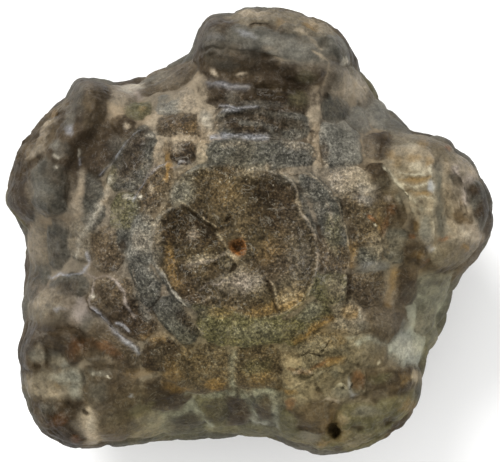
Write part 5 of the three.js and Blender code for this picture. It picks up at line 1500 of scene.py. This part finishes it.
def stone_material(look):
    """Weathered calcite plates with hardened mud in the hollows, worn pale on the edges, with painted
    highlights, painted shade in the hollows and a painted light cast.
    """
    material = bpy.data.materials.new("weathered_calcite_and_painted_light")
    material.use_nodes = True
    shader = material.node_tree.nodes["Principled BSDF"]
    graph = StoneGraph(material.node_tree, look)
    stone = graph.plates()
    for layer in (graph.threads, graph.mud, graph.wear, graph.crystals, graph.light_cast):
        stone = layer(stone)
    graph.feed(stone, shader.inputs["Base Color"])
    graph.feed(graph.roughness(), shader.inputs["Roughness"])
    graph.feed(graph.relief(), shader.inputs["Normal"])
    shader.inputs["Specular IOR Level"].default_value = SPECULAR
    return material


def floor_material(color):
    """A pale floor with barely visible clouds."""
    material = bpy.data.materials.new("pale_floor")
    material.use_nodes = True
    graph = Graph(material.node_tree)
    shader = material.node_tree.nodes["Principled BSDF"]
    where = graph.node("ShaderNodeTexCoord").outputs["Object"]
    tone = graph.spread(graph.noise(where, CLOUD_SIZE, 3.0), 0.0, 1.0)
    graph.feed(graph.mix(tone, rgba(color, CLOUD_SHADE), rgba(color)), shader.inputs["Base Color"])
    shader.inputs["Roughness"].default_value = FLOOR_ROUGHNESS
    return material


def color_setting(name, description, default):
    """A colour that the user can pick."""
    return FloatVectorProperty(
        name=name, description=description, subtype="COLOR", size=3, default=default)


def length_setting(name, description, default, **limits):
    """A length in the scene's units."""
    return FloatProperty(
        name=name, description=description, subtype="DISTANCE", unit="LENGTH", default=default, **limits)


class FossilLook(bpy.types.PropertyGroup):
    """Sizes and colours of the fossil that a user would change."""

    fineness: IntProperty(
        name="Fineness", description="How many times the first sphere's faces are halved",
        default=8, min=4, max=9)
    triangles: IntProperty(
        name="Triangles", description="Triangles kept in the finished piece", default=196000, min=2000)
    stain_color: color_setting("Stain", "Colour of the brown staining", (0.085, 0.054, 0.024))
    film_color: color_setting("Film", "Colour of the thin dusty film", (0.150, 0.128, 0.088))
    mud_warmth: color_setting("Mud warmth", "Tint of the warmer patches of mud", (1.0, 0.88, 0.74))
    # The painted light cast: a cooler tint where the sky's light falls, a greenish yellow one on the lower
    # fields.
    cool_light_cast: color_setting(
        "Cool light cast", "Tint of the stone where no yellow lies on it", (0.95, 1.0, 1.08))
    olive_light_cast: color_setting(
        "Olive light cast", "Tint of the stone under the greenish yellow", (1.0, 1.02, 0.82))
    # Worn edges with their painted highlight, and the calcite threads.
    rubbed_highlight_color: color_setting("Rubbed edge and highlight", "Colour of worn edges and their painted highlights", (0.210, 0.185, 0.150))
    # The palest grains, painted bright as glints.
    grain_glint_color: color_setting("Pale grain and glint", "Colour of the palest crystal grains and their painted glints", (0.480, 0.430, 0.340))
    dust: FloatProperty(
        name="Dust", description="How much dust lies on the stone beside the mud",
        default=0.25, min=0.0, max=1.0, subtype="FACTOR")
    roughness: FloatProperty(
        name="Roughness", description="Roughness of the stone",
        default=0.55, min=0.2, max=1.0, subtype="FACTOR")
    grain_depth: length_setting(
        "Grain depth", "Depth of the finest grain", 0.15 * MM, min=0.0, precision=6)


class StageLook(bpy.types.PropertyGroup):
    """The floor, the light and the camera."""

    floor_size: length_setting("Floor", "Side of the square floor", 1.6)
    floor_color: color_setting("Floor colour", "Colour of the floor", (0.90, 0.90, 0.895))
    key_strength: FloatProperty(
        name="Key light", description="Strength of the soft sun", default=3.45, min=0.0)
    fill_strength: FloatProperty(
        name="Fill light", description="Strength of the weak sun across from the key",
        default=0.6, min=0.0)
    sky_strength: FloatProperty(
        name="Sky", description="Strength of the even light", default=1.05, min=0.0)
    camera_distance: length_setting("Camera distance", "From the widest line up to the camera", 0.7)
    view_width: length_setting("View width", "Width seen at the widest line", 0.040, precision=4)


class FOSSIL_OT_theca(bpy.types.Operator):
    """Model the cup of the fossil from a fine sphere and give it its stone"""

    bl_idname = "fossil.theca"
    bl_label = "Cup"
    bl_options = {"REGISTER", "UNDO"}

    def execute(self, context):
        look = context.scene.fossil_look
        bpy.ops.object.select_all(action="DESELECT")
        bpy.ops.mesh.primitive_ico_sphere_add(subdivisions=look.fineness, radius=1.0)
        theca = context.object
        theca.name = theca.data.name = "theca_stone"
        sculpt(theca.data)
        bpy.ops.object.shade_smooth()
        thin = theca.modifiers.new("thin", "DECIMATE")
        thin.ratio = min(1.0, look.triangles / len(theca.data.polygons))
        bpy.ops.object.modifier_apply(modifier=thin.name)
        theca.data.materials.append(stone_material(look))
        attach(theca, "root")
        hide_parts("theca")
        return {"FINISHED"}


class FOSSIL_OT_stage(bpy.types.Operator):
    """Lay the pale floor, set the soft light and place the camera above"""

    bl_idname = "fossil.stage"
    bl_label = "Stage"
    bl_options = {"REGISTER", "UNDO"}

    def execute(self, context):
        look = context.scene.stage_look
        bpy.ops.object.select_all(action="DESELECT")
        bpy.ops.mesh.primitive_plane_add(size=look.floor_size, location=(0, 0, 0))
        floor = context.object
        floor.name = "floor"
        floor.data.materials.append(floor_material(look.floor_color))

        world = bpy.data.worlds.new("even_sky")
        world.use_nodes = True
        background = world.node_tree.nodes["Background"]
        background.inputs["Color"].default_value = (1.0, 1.0, 1.0, 1.0)
        background.inputs["Strength"].default_value = look.sky_strength
        context.scene.world = world

        for (name, width, turns), strength in zip(SUNS, (look.key_strength, look.fill_strength)):
            light = bpy.data.lights.new(name, "SUN")
            light.energy = strength
            light.angle = math.radians(width)
            sun = bpy.data.objects.new(name, light)
            sun.rotation_euler = (math.radians(turns[0]), math.radians(turns[1]), 0)
            context.collection.objects.link(sun)

        camera = bpy.data.cameras.new("camera")
        camera.sensor_width = SENSOR_WIDTH
        camera.lens = camera.sensor_width * look.camera_distance / look.view_width
        camera.clip_end = CAMERA_REACH
        eye = bpy.data.objects.new("camera", camera)
        eye.location = (CAMERA_X, 0.0, WIDEST_LEVEL + look.camera_distance)
        context.collection.objects.link(eye)
        context.scene.camera = eye
        context.scene.view_settings.view_transform = "Standard"
        return {"FINISHED"}


class FOSSIL_PT_parts(bpy.types.Panel):
    """Lists the fossil's sizes, colours and steps"""

    bl_idname = "FOSSIL_PT_parts"
    bl_label = "Fossil"
    bl_space_type = "VIEW_3D"
    bl_region_type = "UI"
    bl_category = "Fossil"

    def draw(self, context):
        for look in (context.scene.fossil_look, context.scene.stage_look):
            for name in look.__annotations__:
                self.layout.prop(look, name)
        for operator in (FOSSIL_OT_theca, FOSSIL_OT_stage):
            self.layout.operator(operator.bl_idname)


CLASSES = (FossilLook, StageLook, FOSSIL_OT_theca, FOSSIL_OT_stage, FOSSIL_PT_parts)


def register():
    for cls in CLASSES:
        bpy.utils.register_class(cls)
    bpy.types.Scene.fossil_look = PointerProperty(type=FossilLook)
    bpy.types.Scene.stage_look = PointerProperty(type=StageLook)


def unregister():
    del bpy.types.Scene.stage_look
    del bpy.types.Scene.fossil_look
    for cls in reversed(CLASSES):
        bpy.utils.unregister_class(cls)


def main():
    register()
    bpy.ops.fossil.theca()
    bpy.ops.fossil.stage()


if __name__ == "__main__":
    main()
